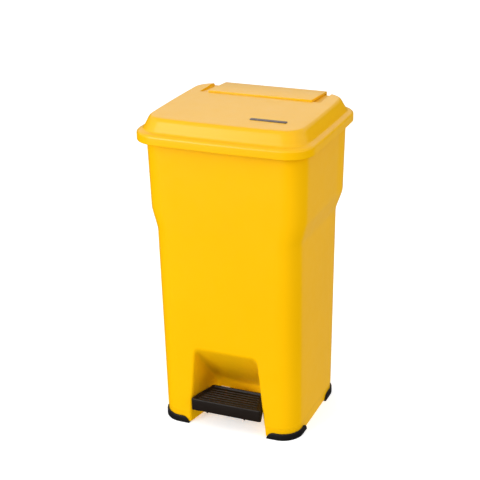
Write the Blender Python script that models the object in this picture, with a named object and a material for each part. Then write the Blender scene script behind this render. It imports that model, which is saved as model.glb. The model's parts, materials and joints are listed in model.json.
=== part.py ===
"""Pedal bin: a tapered tub with a hinged lid that a foot pedal lifts through a push rod.

Metres, +Z up, +X to the right, the front faces -Y.  The origin is on the floor, under the middle
of the bin.
"""
import math

import bmesh
import bpy
from mathutils import Matrix, Vector

# ---- whole bin ----
HEIGHT = 0.789                  # top of the hinge cover, the highest point
WALL = 0.0032                   # moulded wall thickness
GAP = 0.0003                    # clearance between pieces that touch
SCREW_HOLE = 0.0022             # radius of every screw hole
HOLE_STEPS = 10
CORNER_STEPS = 6                # segments in a quarter-round corner
SIDE_STEPS = 8                  # segments along each side between corners

# ---- tub ----
TUB_BOTTOM = 0.003
BAND_TOP = 0.028                # top of the inset band that the feet wrap
BAND_INSET = 0.0012
BAND_STEP = 0.003               # height of the slope above the band
MIDDLE_LEVEL = 0.27
SHOULDER_LOW = 0.5075           # the sides step outwards between these heights
SHOULDER_HIGH = 0.5575
SEAT_LEVEL = 0.728              # level of the lid's lower edge
RIM_TOP = 0.745
TUB_HALF_X_BOTTOM = 0.1775
TUB_HALF_X_SHOULDER = 0.1812
TUB_HALF_X_ABOVE = 0.1942
TUB_HALF_X_TOP = 0.1978
TUB_HALF_Y_BOTTOM = 0.1553
TUB_HALF_Y_TOP = 0.1710
TUB_RADIUS = 0.0475
TUB_BOW = 0.0015                # how far each side bulges between its corners
REAR_FLARE = 0.0036             # the upper sides widen towards the rear edge
REAR_FLARE_START = 0.085
REAR_FLARE_END = 0.125
FLOOR_UNDERSIDE = 0.094

# ---- foot-well in the front of the tub ----
WELL_FRONT_Y = -0.157
WELL_BACK_Y = -0.038
WELL_TOP_FRONT = 0.212
WELL_TOP_BACK = 0.0733
WELL_HALF_FRONT = 0.1000        # half width at floor level, front
WELL_HALF_BACK = 0.0775         # half width at floor level, back
WELL_LEAN = 0.094               # how much the side walls lean in, per metre of height
WELL_CORNER = 0.012
WELL_CORNER_STEPS = 5
WELL_LOWEST = -0.02             # the cutters for the well start below the floor
GATE_HALF_X = 0.066             # opening under the well's back wall for the lever
GATE_TOP = 0.052

# ---- push-rod channel in the back wall ----
CHANNEL_HALF_X = 0.024
CHANNEL_FRONT_Y = 0.128
CHANNEL_BOTTOM = 0.034
CHANNEL_COVER_TOP = 0.680
CHANNEL_COVER_BOTTOM = 0.026
CHANNEL_COVER_HALF_X = 0.034
CHANNEL_COVER_THICK = 0.002
COVER_SCREW_X = 0.0290
COVER_SCREW_HEIGHTS = (0.060, 0.640)

# ---- feet ----
FOOT_HEIGHT = 0.0175
FOOT_HALF_X = 0.1808
FOOT_HALF_Y = 0.1585
FOOT_RADIUS = 0.0505
FOOT_END_X = 0.103
FOOT_END_Y = {-1: 0.078, 1: 0.067}    # front feet, rear feet
FOOT_CURVE = 0.020              # length of the round that brings each end down to the floor
FOOT_PAD = 0.022                # width of the pad under the tub's lower edge
FOOT_TOE = 0.002                # height left at the tip of a foot
FOOT_STEPS = 7

# ---- lid ----
LID_HALF_X = 0.2166
LID_HALF_Y = 0.1971
LID_RADIUS = 0.057
LID_SKIN = 0.0033
LID_BOW_X = 0.003
LID_BOW_Y = 0.006
DOME_RADIUS = 0.050
CROWN_RISE = 0.0012
CROWN_PEAK_Y = 0.020
DOME_TOP = 0.7845
BOSS_BOTTOM = 0.7525
BOSS_HALF_X = 0.018
BUFFER_X = 0.1966
BUFFER_Y = (("front", -0.100), ("rear", 0.070))
BUFFER_RADIUS = 0.0050
BUFFER_EDGE = 0.0006
BUFFER_THICK = 0.0016
BOSS_FRONT_Y = 0.148
BOSS_BACK_Y = 0.165

# ---- hinge cover on the lid ----
COVER_HALF_X = 0.1325
COVER_FRONT_Y = 0.0765
COVER_BACK_Y = 0.1900
COVER_SKIN = 0.003
COVER_EDGE = 0.0012             # bevel along the cover's front and rear edges
COVER_BACK_TOP = 0.7820
POCKET_HALF_X = 0.1535
POCKET_FLOOR_FRONT = 0.7812     # the pocket's floor slopes down to the rear
POCKET_FLOOR_BACK = 0.7765
POCKET_BACK_Y = 0.175
APRON_FRONT_Y = 0.1850          # the cover's rear wall hangs down behind the dome
APRON_BOTTOM = 0.7545           # lower edge of that rear wall

# ---- badge: a blank bar let into the lid's top ----
BADGE_X = 0.0938
BADGE_Y = -0.1045
BADGE_HALF_X = 0.0437
BADGE_HALF_Y = 0.0055
BADGE_FLOOR = 0.7835
BADGE_TOP = 0.7868
BADGE_RADIUS = 0.0025

# ---- hinge ----
HINGE_Y = 0.182
HINGE_Z = 0.735
HINGE_X = 0.112                 # distance of each hinge from the middle
PIN_RADIUS = 0.003
KNUCKLE_RADIUS = 0.0065
ARM_HALF_X = 0.011
EAR_THICK = 0.0035
EAR_GAP = 0.0008
BRACKET_FACE_Y = TUB_HALF_Y_TOP + 0.0004
BRACKET_THICK = 0.003
BRACKET_BOTTOM = 0.690
BRACKET_SLOT = 0.7215           # the plate ends here between the two ears
EAR_BACK = ((0.1765, 0.7190), (0.1768, 0.7245))     # y, z of each ear's rear edge
EAR_FRONT = ((0.1728, 0.7310), (BRACKET_FACE_Y, 0.7260))
EAR_ROOT = 0.7130               # level where an ear leaves the plate
BRACKET_SCREW_RISE = 0.011
BRACKET_SCREW_SHIFT = 0.008
PIN_HEAD_RADIUS = 0.0046
PIN_HEAD = 0.0019
ARM_SEAT = 0.7475               # underside of each arm's pad
ARM_FRONT = ((0.1712, ARM_SEAT), (0.1750, 0.7425))  # y, z of the arm's lower bend
ARM_BACK = ((0.1862, 0.7440), (0.1765, 0.7514))     # y, z of its upper bend
ARM_PAD_BACK_Y = 0.1680

# ---- lift bracket and roller on the lid ----
LID_OPEN_ANGLE = 75.0
CRANK_LENGTH = 0.0386
CRANK_REST = math.radians(LID_OPEN_ANGLE / 2)
ROLLER_Y = HINGE_Y - CRANK_LENGTH * math.cos(CRANK_REST)
ROLLER_Z = HINGE_Z - CRANK_LENGTH * math.sin(CRANK_REST)
ROLLER_RADIUS = 0.0055
ROLLER_HALF_X = 0.0088
CHEEK_THICK = 0.002
CHEEK_GAP = 0.0006              # between the roller and each cheek
CHEEK_END = 0.0050              # half depth of a cheek round the roller's pin
CHEEK_TIP = 0.0025
LIFT_PAD_HALF_X = 0.0192
LIFT_PAD_FRONT_Y = 0.147
LIFT_SCREW_X = 0.0152
ROLLER_PIN_RADIUS = 0.0020
LINKAGE_GAP = 0.0013            # slack between pieces that only push on each other

# ---- push rod ----
ROD_Y = 0.1475
ROD_RADIUS = 0.0035
ROD_CAP_RADIUS = 0.0085
ROD_CAP_HEIGHT = 0.009
ROD_FOOT_RADIUS = 0.005
ROD_FOOT_HEIGHT = 0.010
ROD_SEAT = 0.003                # thickness of the cap and of the foot beyond the rod's ends
GUIDE_HEIGHTS = (0.115, 0.600)
GUIDE_TALL = 0.016

# ---- pedal, lever and axle ----
AXLE_Y = -0.018
AXLE_Z = 0.036
AXLE_RADIUS = 0.004
AXLE_HALF_X = 0.0505
LEVER_HALF_X = 0.030
LEVER_SHEET = 0.003
LEVER_END_Y = 0.1515
LEVER_TOP = 0.0435
TONGUE_HALF_X = 0.018           # the lever narrows to a tongue that enters the channel
TONGUE_START_Y = 0.112
PEDAL_SEAT = 0.0690             # top of the lever under the pedal
LEVER_UPPER = ((-0.152, PEDAL_SEAT), (-0.070, PEDAL_SEAT), (-0.048, LEVER_TOP),
               (LEVER_END_Y, LEVER_TOP))            # y, z along the lever's top
LEVER_LOWER = ((LEVER_END_Y, 0.0390), (0.030, 0.0285), (-0.040, 0.0285), (-0.068, 0.0580),
               (-0.152, 0.0630))                    # y, z along its lower edges
PEDAL_FRONT_Y = -0.1655
PEDAL_BACK_Y = -0.0790
PEDAL_HALF_FRONT = 0.0917
PEDAL_HALF_BACK = 0.0705
PEDAL_BOTTOM = 0.0460
PEDAL_TOP = 0.0770
PEDAL_CORNER = 0.006
PEDAL_RIM = 0.0055
TREAD_DEPTH = 0.0045
TREAD_RIBS = 6
RIB_HALF = 0.0022               # half the width of a rib
RIB_HEIGHT = 0.0012
PEDAL_SKIN = 0.003
PEDAL_SCREW_Y = (-0.135, -0.095)
STOP_X = 0.049                  # two small stops under the pedal's front wall
STOP_BOTTOM = 0.0435
STOP_HALF = 0.0020
BRACKET_X = 0.040               # inner face of each axle bracket
AXLE_BRACKET_THICK = 0.005
CLIP_RADIUS = 0.007
CLIP_THICK = 0.0025
AXLE_EDGE = 0.0008
HANGER_RADIUS = 0.007           # round end of each axle bracket
HANGER_TOP_HALF = 0.012
FLANGE_THICK = 0.003
FLANGE_REACH = 0.022
FLANGE_SCREW = 0.014


# ---------------------------------------------------------------- modelling tools
# where a point (u, v) of an outline goes when the outline is swept to w along an axis
AXES = {"X": lambda u, v, w: (w, u, v), "Y": lambda u, v, w: (u, w, v), "Z": lambda u, v, w: (u, v, w)}


def clear_scene():
    for obj in list(bpy.data.objects):
        bpy.data.objects.remove(obj, do_unlink=True)


def make_material(name, colour, roughness, metallic=0.0):
    material = bpy.data.materials.new(name)
    material.use_nodes = True
    shader = material.node_tree.nodes["Principled BSDF"]
    shader.inputs["Base Color"].default_value = (*colour, 1.0)
    shader.inputs["Roughness"].default_value = roughness
    shader.inputs["Metallic"].default_value = metallic
    return material


def add_object(name, bm, material=None, smooth_angle=35.0):
    bmesh.ops.recalc_face_normals(bm, faces=bm.faces)
    if bm.calc_volume(signed=True) < 0:
        bmesh.ops.reverse_faces(bm, faces=bm.faces)
    mesh = bpy.data.meshes.new(name)
    bm.to_mesh(mesh)
    bm.free()
    if material:
        mesh.materials.append(material)
    mesh.shade_smooth()
    mesh.set_sharp_from_angle(angle=math.radians(smooth_angle))
    obj = bpy.data.objects.new(name, mesh)
    bpy.context.scene.collection.objects.link(obj)
    return obj


def loft(name, rings, material=None):
    """A closed solid through rings of points, each with the same number of points."""
    bm = bmesh.new()
    loops = [[bm.verts.new(point) for point in ring] for ring in rings]
    for low, high in zip(loops, loops[1:]):
        for i in range(len(low)):
            j = (i + 1) % len(low)
            bm.faces.new((low[i], low[j], high[j], high[i]))
    bm.faces.new(list(reversed(loops[0])))
    bm.faces.new(loops[-1])
    return add_object(name, bm, material)


def prism(name, outline, low, high, axis="X", material=None):
    """An outline of (u, v) points swept along one axis, from low to high."""
    rings = [[AXES[axis](u, v, w) for u, v in outline] for w in (low, high)]
    return loft(name, rings, material)


def box(name, low, high, material=None):
    outline = [(low[0], low[1]), (high[0], low[1]), (high[0], high[1]), (low[0], high[1])]
    return prism(name, outline, low[2], high[2], "Z", material)


def circle(centre_u, centre_v, radius, steps=16, start=0.0, sweep=360.0):
    count = steps if sweep == 360.0 else steps + 1
    angles = [math.radians(start + sweep * i / steps) for i in range(count)]
    return [(centre_u + radius * math.cos(a), centre_v + radius * math.sin(a)) for a in angles]


def turned(name, profile, start, direction, material=None, steps=16):
    """A solid of revolution: profile holds (distance along the axis, radius) pairs."""
    along = Vector(direction).normalized()
    side = along.orthogonal().normalized()
    other = along.cross(side)
    rings = []
    for distance, radius in profile:
        middle = Vector(start) + along * distance
        rings.append([middle + side * u + other * v for u, v in circle(0, 0, radius, steps)])
    return loft(name, rings, material)


def boolean(target, tool, operation="DIFFERENCE"):
    modifier = target.modifiers.new(tool.name, "BOOLEAN")
    modifier.operation = operation
    modifier.solver = "EXACT"
    modifier.object = tool
    tool.hide_render = True
    tool.display_type = "WIRE"
    tool.parent = target


def cut(target, *tools):
    for tool in tools:
        boolean(target, tool)


def bore(target, name, centre_u, centre_v, radius, low, high, axis="X"):
    """Cuts one round hole along an axis, from low to high."""
    cut(target, prism(name, circle(centre_u, centre_v, radius), low, high, axis))


def screw_holes(target, name, centres, low, high, axis):
    """Cuts a row of equal screw holes: centres holds (u, v) pairs or (u, v, shift along axis)."""
    bm = bmesh.new()
    for u, v, *shift in centres:
        move = shift[0] if shift else 0.0
        ends = []
        for w in (low + move, high + move):
            ring = circle(u, v, SCREW_HOLE, HOLE_STEPS)
            ends.append([bm.verts.new(AXES[axis](a, b, w)) for a, b in ring])
        for i in range(HOLE_STEPS):
            j = (i + 1) % HOLE_STEPS
            bm.faces.new((ends[0][i], ends[0][j], ends[1][j], ends[1][i]))
        bm.faces.new(ends[0])
        bm.faces.new(ends[1])
    cut(target, add_object(name, bm))


def hang(name, axis_point, pieces):
    """Parents a moving body's pieces to an empty on its joint axis, where they stand."""
    axis = bpy.data.objects.new(name, None)
    axis.location = axis_point
    bpy.context.scene.collection.objects.link(axis)
    for piece in pieces:
        piece.parent = axis
        piece.matrix_parent_inverse = Matrix.Translation(-Vector(axis_point))


def smooth_step(value, low, high):
    t = min(max((value - low) / (high - low), 0.0), 1.0)
    return t * t * (3 - 2 * t)


# ---------------------------------------------------------------- outlines
def rounded_outline(half_x, half_y, radius, bow_x=0.0, bow_y=0.0):
    """A rounded rectangle whose sides bulge between the corners, to the given half sizes."""
    flat_x = half_x - bow_x
    flat_y = half_y - bow_y
    corners = ((1, -1, -90), (1, 1, 0), (-1, 1, 90), (-1, -1, 180))
    arcs = [circle(sx * (flat_x - radius), sy * (flat_y - radius), radius, CORNER_STEPS, start, 90.0)
            for sx, sy, start in corners]
    points = []
    for index, arc in enumerate(arcs):
        points += arc
        last = Vector(arc[-1])
        following = Vector(arcs[(index + 1) % len(arcs)][0])
        points += [tuple(last.lerp(following, i / SIDE_STEPS)) for i in range(1, SIDE_STEPS)]
    bulged = []
    for x, y in points:
        grow_x = 1 + bow_x / flat_x * (1 - (y / flat_y) ** 2)
        grow_y = 1 + bow_y / flat_y * (1 - (x / flat_x) ** 2)
        bulged.append((x * grow_x, y * grow_y))
    return bulged


def tub_half_x(z):
    if z <= SHOULDER_LOW:
        t = (z - BAND_TOP) / (SHOULDER_LOW - BAND_TOP)
        return TUB_HALF_X_BOTTOM + t * (TUB_HALF_X_SHOULDER - TUB_HALF_X_BOTTOM)
    if z >= SHOULDER_HIGH:
        t = (z - SHOULDER_HIGH) / (SEAT_LEVEL - SHOULDER_HIGH)
        return TUB_HALF_X_ABOVE + t * (TUB_HALF_X_TOP - TUB_HALF_X_ABOVE)
    t = (z - SHOULDER_LOW) / (SHOULDER_HIGH - SHOULDER_LOW)
    return TUB_HALF_X_SHOULDER + t * (TUB_HALF_X_ABOVE - TUB_HALF_X_SHOULDER)


def tub_half_y(z):
    t = (z - BAND_TOP) / (SEAT_LEVEL - BAND_TOP)
    return TUB_HALF_Y_BOTTOM + t * (TUB_HALF_Y_TOP - TUB_HALF_Y_BOTTOM)


def tub_ring(z, inset):
    """The tub's outline at height z, moved inwards by inset."""
    radius = TUB_RADIUS - inset
    outline = rounded_outline(tub_half_x(z) - inset, tub_half_y(z) - inset, radius, TUB_BOW, TUB_BOW)
    flare = REAR_FLARE * smooth_step(z, SHOULDER_LOW, SHOULDER_HIGH)
    ring = []
    for x, y in outline:
        widen = flare * smooth_step(y, REAR_FLARE_START, REAR_FLARE_END)
        ring.append((x + math.copysign(widen, x), y, z))
    return ring


def well_ring(y, grow):
    """Section of the foot-well at depth y, enlarged by grow: floor, side, rounded top, side."""
    t = (y - WELL_FRONT_Y) / (WELL_BACK_Y - WELL_FRONT_Y)
    top = WELL_TOP_FRONT + t * (WELL_TOP_BACK - WELL_TOP_FRONT) + 1.5 * grow
    base = WELL_HALF_FRONT + t * (WELL_HALF_BACK - WELL_HALF_FRONT) + grow
    half_top = base - WELL_LEAN * top
    right = [(base - WELL_LEAN * WELL_LOWEST, WELL_LOWEST)]
    right += circle(half_top - WELL_CORNER, top - WELL_CORNER, WELL_CORNER, WELL_CORNER_STEPS, 0.0, 90.0)
    left = [(-x, z) for x, z in reversed(right)]
    return [(x, y, z) for x, z in right + left]


# ---------------------------------------------------------------- tub and its fixed fittings
def make_tub(yellow):
    outside = [tub_ring(z, BAND_INSET) for z in (TUB_BOTTOM, BAND_TOP)]
    levels = (BAND_TOP + BAND_STEP, MIDDLE_LEVEL, SHOULDER_LOW, SHOULDER_HIGH, SEAT_LEVEL, RIM_TOP)
    outside += [tub_ring(z, 0.0) for z in levels]
    tub = loft("body_shell", outside, yellow)

    inner_levels = (FLOOR_UNDERSIDE + WALL,) + levels[1:-1] + (RIM_TOP + 0.01,)
    bag_space = loft("cut_bag_space", [tub_ring(z, WALL) for z in inner_levels])
    base_levels = (TUB_BOTTOM - 0.01, FLOOR_UNDERSIDE)
    base_space = loft("cut_base_space", [tub_ring(z, WALL + BAND_INSET) for z in base_levels])

    well_wall = loft("cut_well_wall", [well_ring(y, WALL) for y in (-0.19, WELL_BACK_Y + WALL)])
    channel_wall = box("cut_channel_wall", (-CHANNEL_HALF_X - WALL, CHANNEL_FRONT_Y - WALL, 0.08),
                       (CHANNEL_HALF_X + WALL, 0.20, 0.78))
    cut(bag_space, well_wall, channel_wall)
    cut(base_space, well_wall)

    well = loft("cut_well", [well_ring(y, 0.0) for y in (-0.20, WELL_BACK_Y)])
    gate = box("cut_gate", (-GATE_HALF_X, WELL_BACK_Y - 0.008, -0.01),
               (GATE_HALF_X, WELL_BACK_Y + 0.008, GATE_TOP))
    channel = box("cut_channel", (-CHANNEL_HALF_X, CHANNEL_FRONT_Y, CHANNEL_BOTTOM),
                  (CHANNEL_HALF_X, 0.21, 0.79))
    cut(tub, bag_space, base_space, well, gate, channel)
    screw_holes(tub, "cut_wall_screw_holes", wall_screw_places(), -0.004, 0.006, "Y")


def wall_screw_places():
    """x, z and the wall's outer y of each screw in the back wall."""
    places = []
    for z in COVER_SCREW_HEIGHTS:
        places += [(side * COVER_SCREW_X, z, tub_half_y(z)) for side in (-1, 1)]
    z = BRACKET_BOTTOM + BRACKET_SCREW_RISE
    for side in (-1, 1):
        for shift in (-BRACKET_SCREW_SHIFT, BRACKET_SCREW_SHIFT):
            places.append((side * HINGE_X + shift, z, tub_half_y(z)))
    return places


def make_screw(name, head_face, direction, length, steel, head_radius=0.0038):
    """A pan-head screw: head_face is the middle of the face that bears on the work."""
    head = 0.0022
    start = Vector(head_face) - Vector(direction) * head
    profile = [(0.0, head_radius * 0.62), (head * 0.35, head_radius * 0.93),
               (head * 0.75, head_radius), (head, head_radius), (head, 0.0018),
               (head + length, 0.0018)]
    return turned(name, profile, start, direction, steel, 12)


def make_wall_screws(steel):
    places = wall_screw_places()
    for index, (x, z, face) in enumerate(places[:4], 1):
        seat = face + GAP + CHANNEL_COVER_THICK + 2 * GAP
        make_screw(f"cover_screw_{index}", (x, seat, z), (0, -1, 0), 0.0045, steel)
    for index, (x, z, _) in enumerate(places[4:], 1):
        seat = BRACKET_FACE_Y + BRACKET_THICK + GAP
        make_screw(f"hinge_screw_{index}", (x, seat, z), (0, -1, 0), 0.0062, steel)


def make_channel_cover(yellow):
    ends = []
    for z in (CHANNEL_COVER_BOTTOM + 0.006, CHANNEL_COVER_TOP):
        ends.append((tub_half_y(z) + GAP, z))
    (low_y, low_z), (high_y, high_z) = ends
    outline = [(low_y, low_z), (low_y + CHANNEL_COVER_THICK, low_z),
               (high_y + CHANNEL_COVER_THICK, high_z), (high_y, high_z)]
    cover = prism("channel_cover", outline, -CHANNEL_COVER_HALF_X, CHANNEL_COVER_HALF_X, "X", yellow)
    screw_holes(cover, "cut_cover_holes", wall_screw_places()[:4], -0.01, 0.01, "Y")


def make_feet(black):
    """Four corner bumpers that wrap the tub's lower edge and carry it off the floor."""
    for back in (-1, 1):
        for side in (-1, 1):
            make_foot(side, back, black)


def make_foot(side, back, black):
    name = f"foot_{'rear' if back > 0 else 'front'}_{'right' if side > 0 else 'left'}"
    outer = rounded_outline(FOOT_HALF_X, FOOT_HALF_Y, FOOT_RADIUS, TUB_BOW, TUB_BOW)
    foot = prism(name, outer, 0.0, FOOT_HEIGHT, "Z", black)
    wrap = [(x, y) for x, y, _ in tub_ring(BAND_TOP, BAND_INSET - GAP)]
    upper = prism(f"cut_{name}_wrap", wrap, TUB_BOTTOM - GAP, 0.04, "Z")
    inner = rounded_outline(FOOT_HALF_X - FOOT_PAD, FOOT_HALF_Y - FOOT_PAD, FOOT_RADIUS - FOOT_PAD)
    middle = prism(f"cut_{name}_middle", inner, -0.01, 0.04, "Z")
    front_end = foot_end(f"cut_{name}_front", side, FOOT_END_X, "Y")
    side_end = foot_end(f"cut_{name}_side", back, FOOT_END_Y[back], "X")
    cut(foot, upper, middle, front_end, side_end)


def foot_end(name, side, end, axis):
    """Everything past a foot's end: above a quarter-round that sinks to the floor, then all of it."""
    curve = []
    lowest = math.asin(FOOT_TOE / FOOT_HEIGHT)
    for i in range(FOOT_STEPS + 1):
        angle = lowest + (math.pi / 2 - lowest) * i / FOOT_STEPS
        along = FOOT_CURVE * (1 - math.cos(angle))
        curve.append((side * (end + along), (FOOT_HEIGHT + GAP) * math.sin(angle)))
    far = -side * 0.22
    outline = [(side * end, -0.01)] + curve
    outline += [(side * (end + FOOT_CURVE), 0.05), (far, 0.05), (far, -0.01)]
    if axis == "Y":
        return prism(name, outline, -0.2, 0.2, "Y")
    return prism(name, outline, -0.22, 0.22, "X")


# ---------------------------------------------------------------- lid
def lid_levels():
    """Levels of the lid's outer surface: inset from its widest outline, height, corner radius."""
    return ((0.0000, SEAT_LEVEL, LID_RADIUS), (0.0000, 0.7445, LID_RADIUS),
            (0.0012, 0.7478, LID_RADIUS - 0.001), (0.0040, 0.7500, LID_RADIUS - 0.003),
            (0.0128, 0.7532, LID_RADIUS - 0.008), (0.0156, 0.7560, DOME_RADIUS),
            (0.0245, 0.7765, DOME_RADIUS - 0.004), (0.0278, 0.7810, DOME_RADIUS - 0.006),
            (0.0320, 0.7835, DOME_RADIUS - 0.010), (0.0380, DOME_TOP, DOME_RADIUS - 0.015))


def lid_ring(inset, z, radius):
    outline = rounded_outline(LID_HALF_X - inset, LID_HALF_Y - inset, radius, LID_BOW_X, LID_BOW_Y)
    return [(x, y, z) for x, y in outline]


def crown_rings(drop, inset):
    """Rings that close the lid's gently crowned top."""
    last_inset, _, last_radius = lid_levels()[-1]
    base = lid_ring(last_inset + inset, DOME_TOP, last_radius - inset / 2)
    rings = []
    for scale in (0.78, 0.5, 0.2):
        ring = []
        for x, y, _ in base:
            fall = ((y * scale - CROWN_PEAK_Y) / LID_HALF_Y) ** 2
            ring.append((x * scale, y * scale, DOME_TOP + CROWN_RISE * (1 - scale ** 2) * (1 - fall) - drop))
        rings.append(ring)
    return rings


def make_lid(yellow):
    outside = [lid_ring(*level) for level in lid_levels()] + crown_rings(0.0, 0.0)
    lid = loft("lid_shell", outside, yellow)
    inside = []
    for index, (inset, z, radius) in enumerate(lid_levels()):
        height = SEAT_LEVEL - 0.004 if index == 0 else z - LID_SKIN
        inside.append(lid_ring(inset + LID_SKIN, height, radius - LID_SKIN / 2))
    inside += crown_rings(LID_SKIN, LID_SKIN)
    hollow = loft("cut_lid_hollow", inside)
    cut(hollow, make_pocket("cut_pocket_wall", WALL))
    for index, x in enumerate((-HINGE_X, 0.0, HINGE_X), 1):
        boss = box(f"cut_boss_{index}", (x - BOSS_HALF_X, BOSS_FRONT_Y, BOSS_BOTTOM),
                   (x + BOSS_HALF_X, BOSS_BACK_Y, 0.80))
        cut(hollow, boss)
    seat = prism("cut_badge_seat", badge_outline(GAP), BADGE_FLOOR, 0.80, "Z")
    cut(lid, hollow, make_pocket("cut_pocket", 0.0), seat)
    screw_holes(lid, "cut_boss_holes", lid_screw_places(), BOSS_BOTTOM - 0.002, BOSS_BOTTOM + 0.012, "Z")
    return lid


def make_pocket(name, grow):
    """The pocket in the lid's top that the hinge cover sits in, enlarged by grow."""
    front = COVER_FRONT_Y - GAP - grow
    far = LID_HALF_Y + 0.02
    outline = [(front, POCKET_FLOOR_FRONT - grow), (POCKET_BACK_Y, POCKET_FLOOR_BACK - grow),
               (far, POCKET_FLOOR_BACK - grow), (far, HEIGHT + 0.02), (front, HEIGHT + 0.02)]
    return prism(name, outline, -POCKET_HALF_X - grow, POCKET_HALF_X + grow)


def lid_screw_places():
    """Middle of each screw that goes up into the lid's bosses."""
    y = (BOSS_FRONT_Y + BOSS_BACK_Y) / 2
    return ((-HINGE_X, y), (HINGE_X, y), (-LIFT_SCREW_X, y), (LIFT_SCREW_X, y))


def badge_outline(grow):
    half_x = BADGE_HALF_X + grow
    half_y = BADGE_HALF_Y + grow
    radius = BADGE_RADIUS + grow
    points = []
    for sx, sy, start in ((1, -1, -90), (1, 1, 0), (-1, 1, 90), (-1, -1, 180)):
        centre = (BADGE_X + sx * (half_x - radius), BADGE_Y + sy * (half_y - radius))
        points += circle(*centre, radius, 3, start, 90.0)
    return points


def make_badge(dark):
    return prism("badge_plate", badge_outline(0.0), BADGE_FLOOR + GAP, BADGE_TOP, "Z", dark)


def make_hinge_cover(yellow):
    """The raised cover over the hinge: sloping top, front lip, side skirts and rear wall."""
    seat_front = POCKET_FLOOR_FRONT + GAP
    seat_back = POCKET_FLOOR_BACK + GAP
    outline = [(COVER_FRONT_Y, seat_front), (COVER_FRONT_Y, HEIGHT - COVER_EDGE),
               (COVER_FRONT_Y + COVER_EDGE, HEIGHT), (COVER_BACK_Y - 3 * COVER_EDGE, COVER_BACK_TOP),
               (COVER_BACK_Y - COVER_EDGE, COVER_BACK_TOP - COVER_EDGE),
               (COVER_BACK_Y, COVER_BACK_TOP - 3 * COVER_EDGE), (COVER_BACK_Y, APRON_BOTTOM),
               (APRON_FRONT_Y, APRON_BOTTOM), (APRON_FRONT_Y, seat_back), (POCKET_BACK_Y, seat_back)]
    cover = prism("hinge_cover", outline, -COVER_HALF_X, COVER_HALF_X, "X", yellow)
    front = COVER_FRONT_Y + COVER_SKIN
    back = COVER_BACK_Y - COVER_SKIN
    fold = APRON_FRONT_Y - COVER_SKIN
    below = 0.002
    inside = [(front, seat_front - below), (POCKET_BACK_Y, seat_back - below), (fold, seat_back - below),
              (fold, APRON_BOTTOM - below), (back, APRON_BOTTOM - below),
              (back, COVER_BACK_TOP - COVER_SKIN), (front, HEIGHT - COVER_SKIN)]
    half = COVER_HALF_X - COVER_SKIN
    cut(cover, prism("cut_hinge_cover", inside, -half, half, "X"))
    return cover


def make_lid_buffers(rubber):
    """Soft pads under the lid's ledge that land on the rim."""
    pads = []
    for side in (-1, 1):
        for label, y in BUFFER_Y:
            name = f"lid_buffer_{label}_{'right' if side > 0 else 'left'}"
            x = side * BUFFER_X
            profile = [(0.0, BUFFER_RADIUS - BUFFER_EDGE), (BUFFER_EDGE, BUFFER_RADIUS),
                       (BUFFER_THICK, BUFFER_RADIUS)]
            pads.append(turned(name, profile, (x, y, RIM_TOP + GAP), (0, 0, 1), rubber, 14))
    return pads


# ---------------------------------------------------------------- hinge
def make_hinges(steel, black):
    """Both hinges; the two arms, which move with the lid, are handed back."""
    arms = []
    reach = ARM_HALF_X + EAR_GAP + EAR_THICK
    for side, label in ((-1, "left"), (1, "right")):
        x = side * HINGE_X
        make_hinge_bracket(f"hinge_bracket_{label}", x, reach, steel)
        arms.append(make_hinge_arm(f"lid_hinge_arm_{label}", x, black))
        start = (x - reach - PIN_HEAD - GAP, HINGE_Y, HINGE_Z)
        end = 2 * reach + 0.0046
        profile = [(0.0, PIN_HEAD_RADIUS - 0.0006), (0.0004, PIN_HEAD_RADIUS), (PIN_HEAD, PIN_HEAD_RADIUS),
                   (PIN_HEAD, PIN_RADIUS), (end - 0.0006, PIN_RADIUS), (end, PIN_RADIUS - 0.0006)]
        turned(f"hinge_pin_{label}", profile, start, (1, 0, 0), steel)
    return arms


def make_hinge_bracket(name, x, reach, steel):
    """A folded plate on the back wall with two ears that hold the hinge pin."""
    face = BRACKET_FACE_Y
    back = face + BRACKET_THICK
    outline = [(face, BRACKET_BOTTOM), (back, BRACKET_BOTTOM), (back, EAR_ROOT), *EAR_BACK]
    outline += circle(HINGE_Y, HINGE_Z, KNUCKLE_RADIUS, 10, -70.0, 250.0)
    outline += EAR_FRONT
    bracket = prism(name, outline, x - reach, x + reach, "X", steel)
    inner = ARM_HALF_X + EAR_GAP
    slot = prism(f"cut_{name}_slot", [(back, 0.66), (0.21, 0.66), (0.21, 0.77), (face - 0.01, 0.77),
                                      (face - 0.01, BRACKET_SLOT), (back, BRACKET_SLOT)],
                 x - inner, x + inner, "X")
    cut(bracket, slot)
    bore(bracket, f"cut_{name}_bore", HINGE_Y, HINGE_Z, PIN_RADIUS + GAP, x - 0.03, x + 0.03)
    height = BRACKET_BOTTOM + BRACKET_SCREW_RISE
    centres = [(x + shift, height) for shift in (-BRACKET_SCREW_SHIFT, BRACKET_SCREW_SHIFT)]
    screw_holes(bracket, f"cut_{name}_holes", centres, face - 0.01, back + 0.01, "Y")


def make_hinge_arm(name, x, black):
    """The lid's half of a hinge: a pad under the lid's boss and a knuckle around the pin."""
    pad_top = BOSS_BOTTOM - GAP
    outline = [(BOSS_FRONT_Y, ARM_SEAT), *ARM_FRONT]
    outline += circle(HINGE_Y, HINGE_Z, KNUCKLE_RADIUS, 11, 180.0, 210.0)
    outline += [*ARM_BACK, (ARM_PAD_BACK_Y, pad_top), (BOSS_FRONT_Y, pad_top)]
    arm = prism(name, outline, x - ARM_HALF_X, x + ARM_HALF_X, "X", black)
    bore(arm, f"cut_{name}_bore", HINGE_Y, HINGE_Z, PIN_RADIUS + GAP, x - 0.02, x + 0.02)
    screw_y = (BOSS_FRONT_Y + BOSS_BACK_Y) / 2
    screw_holes(arm, f"cut_{name}_hole", [(x, screw_y)], 0.74, 0.76, "Z")
    return arm


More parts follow.
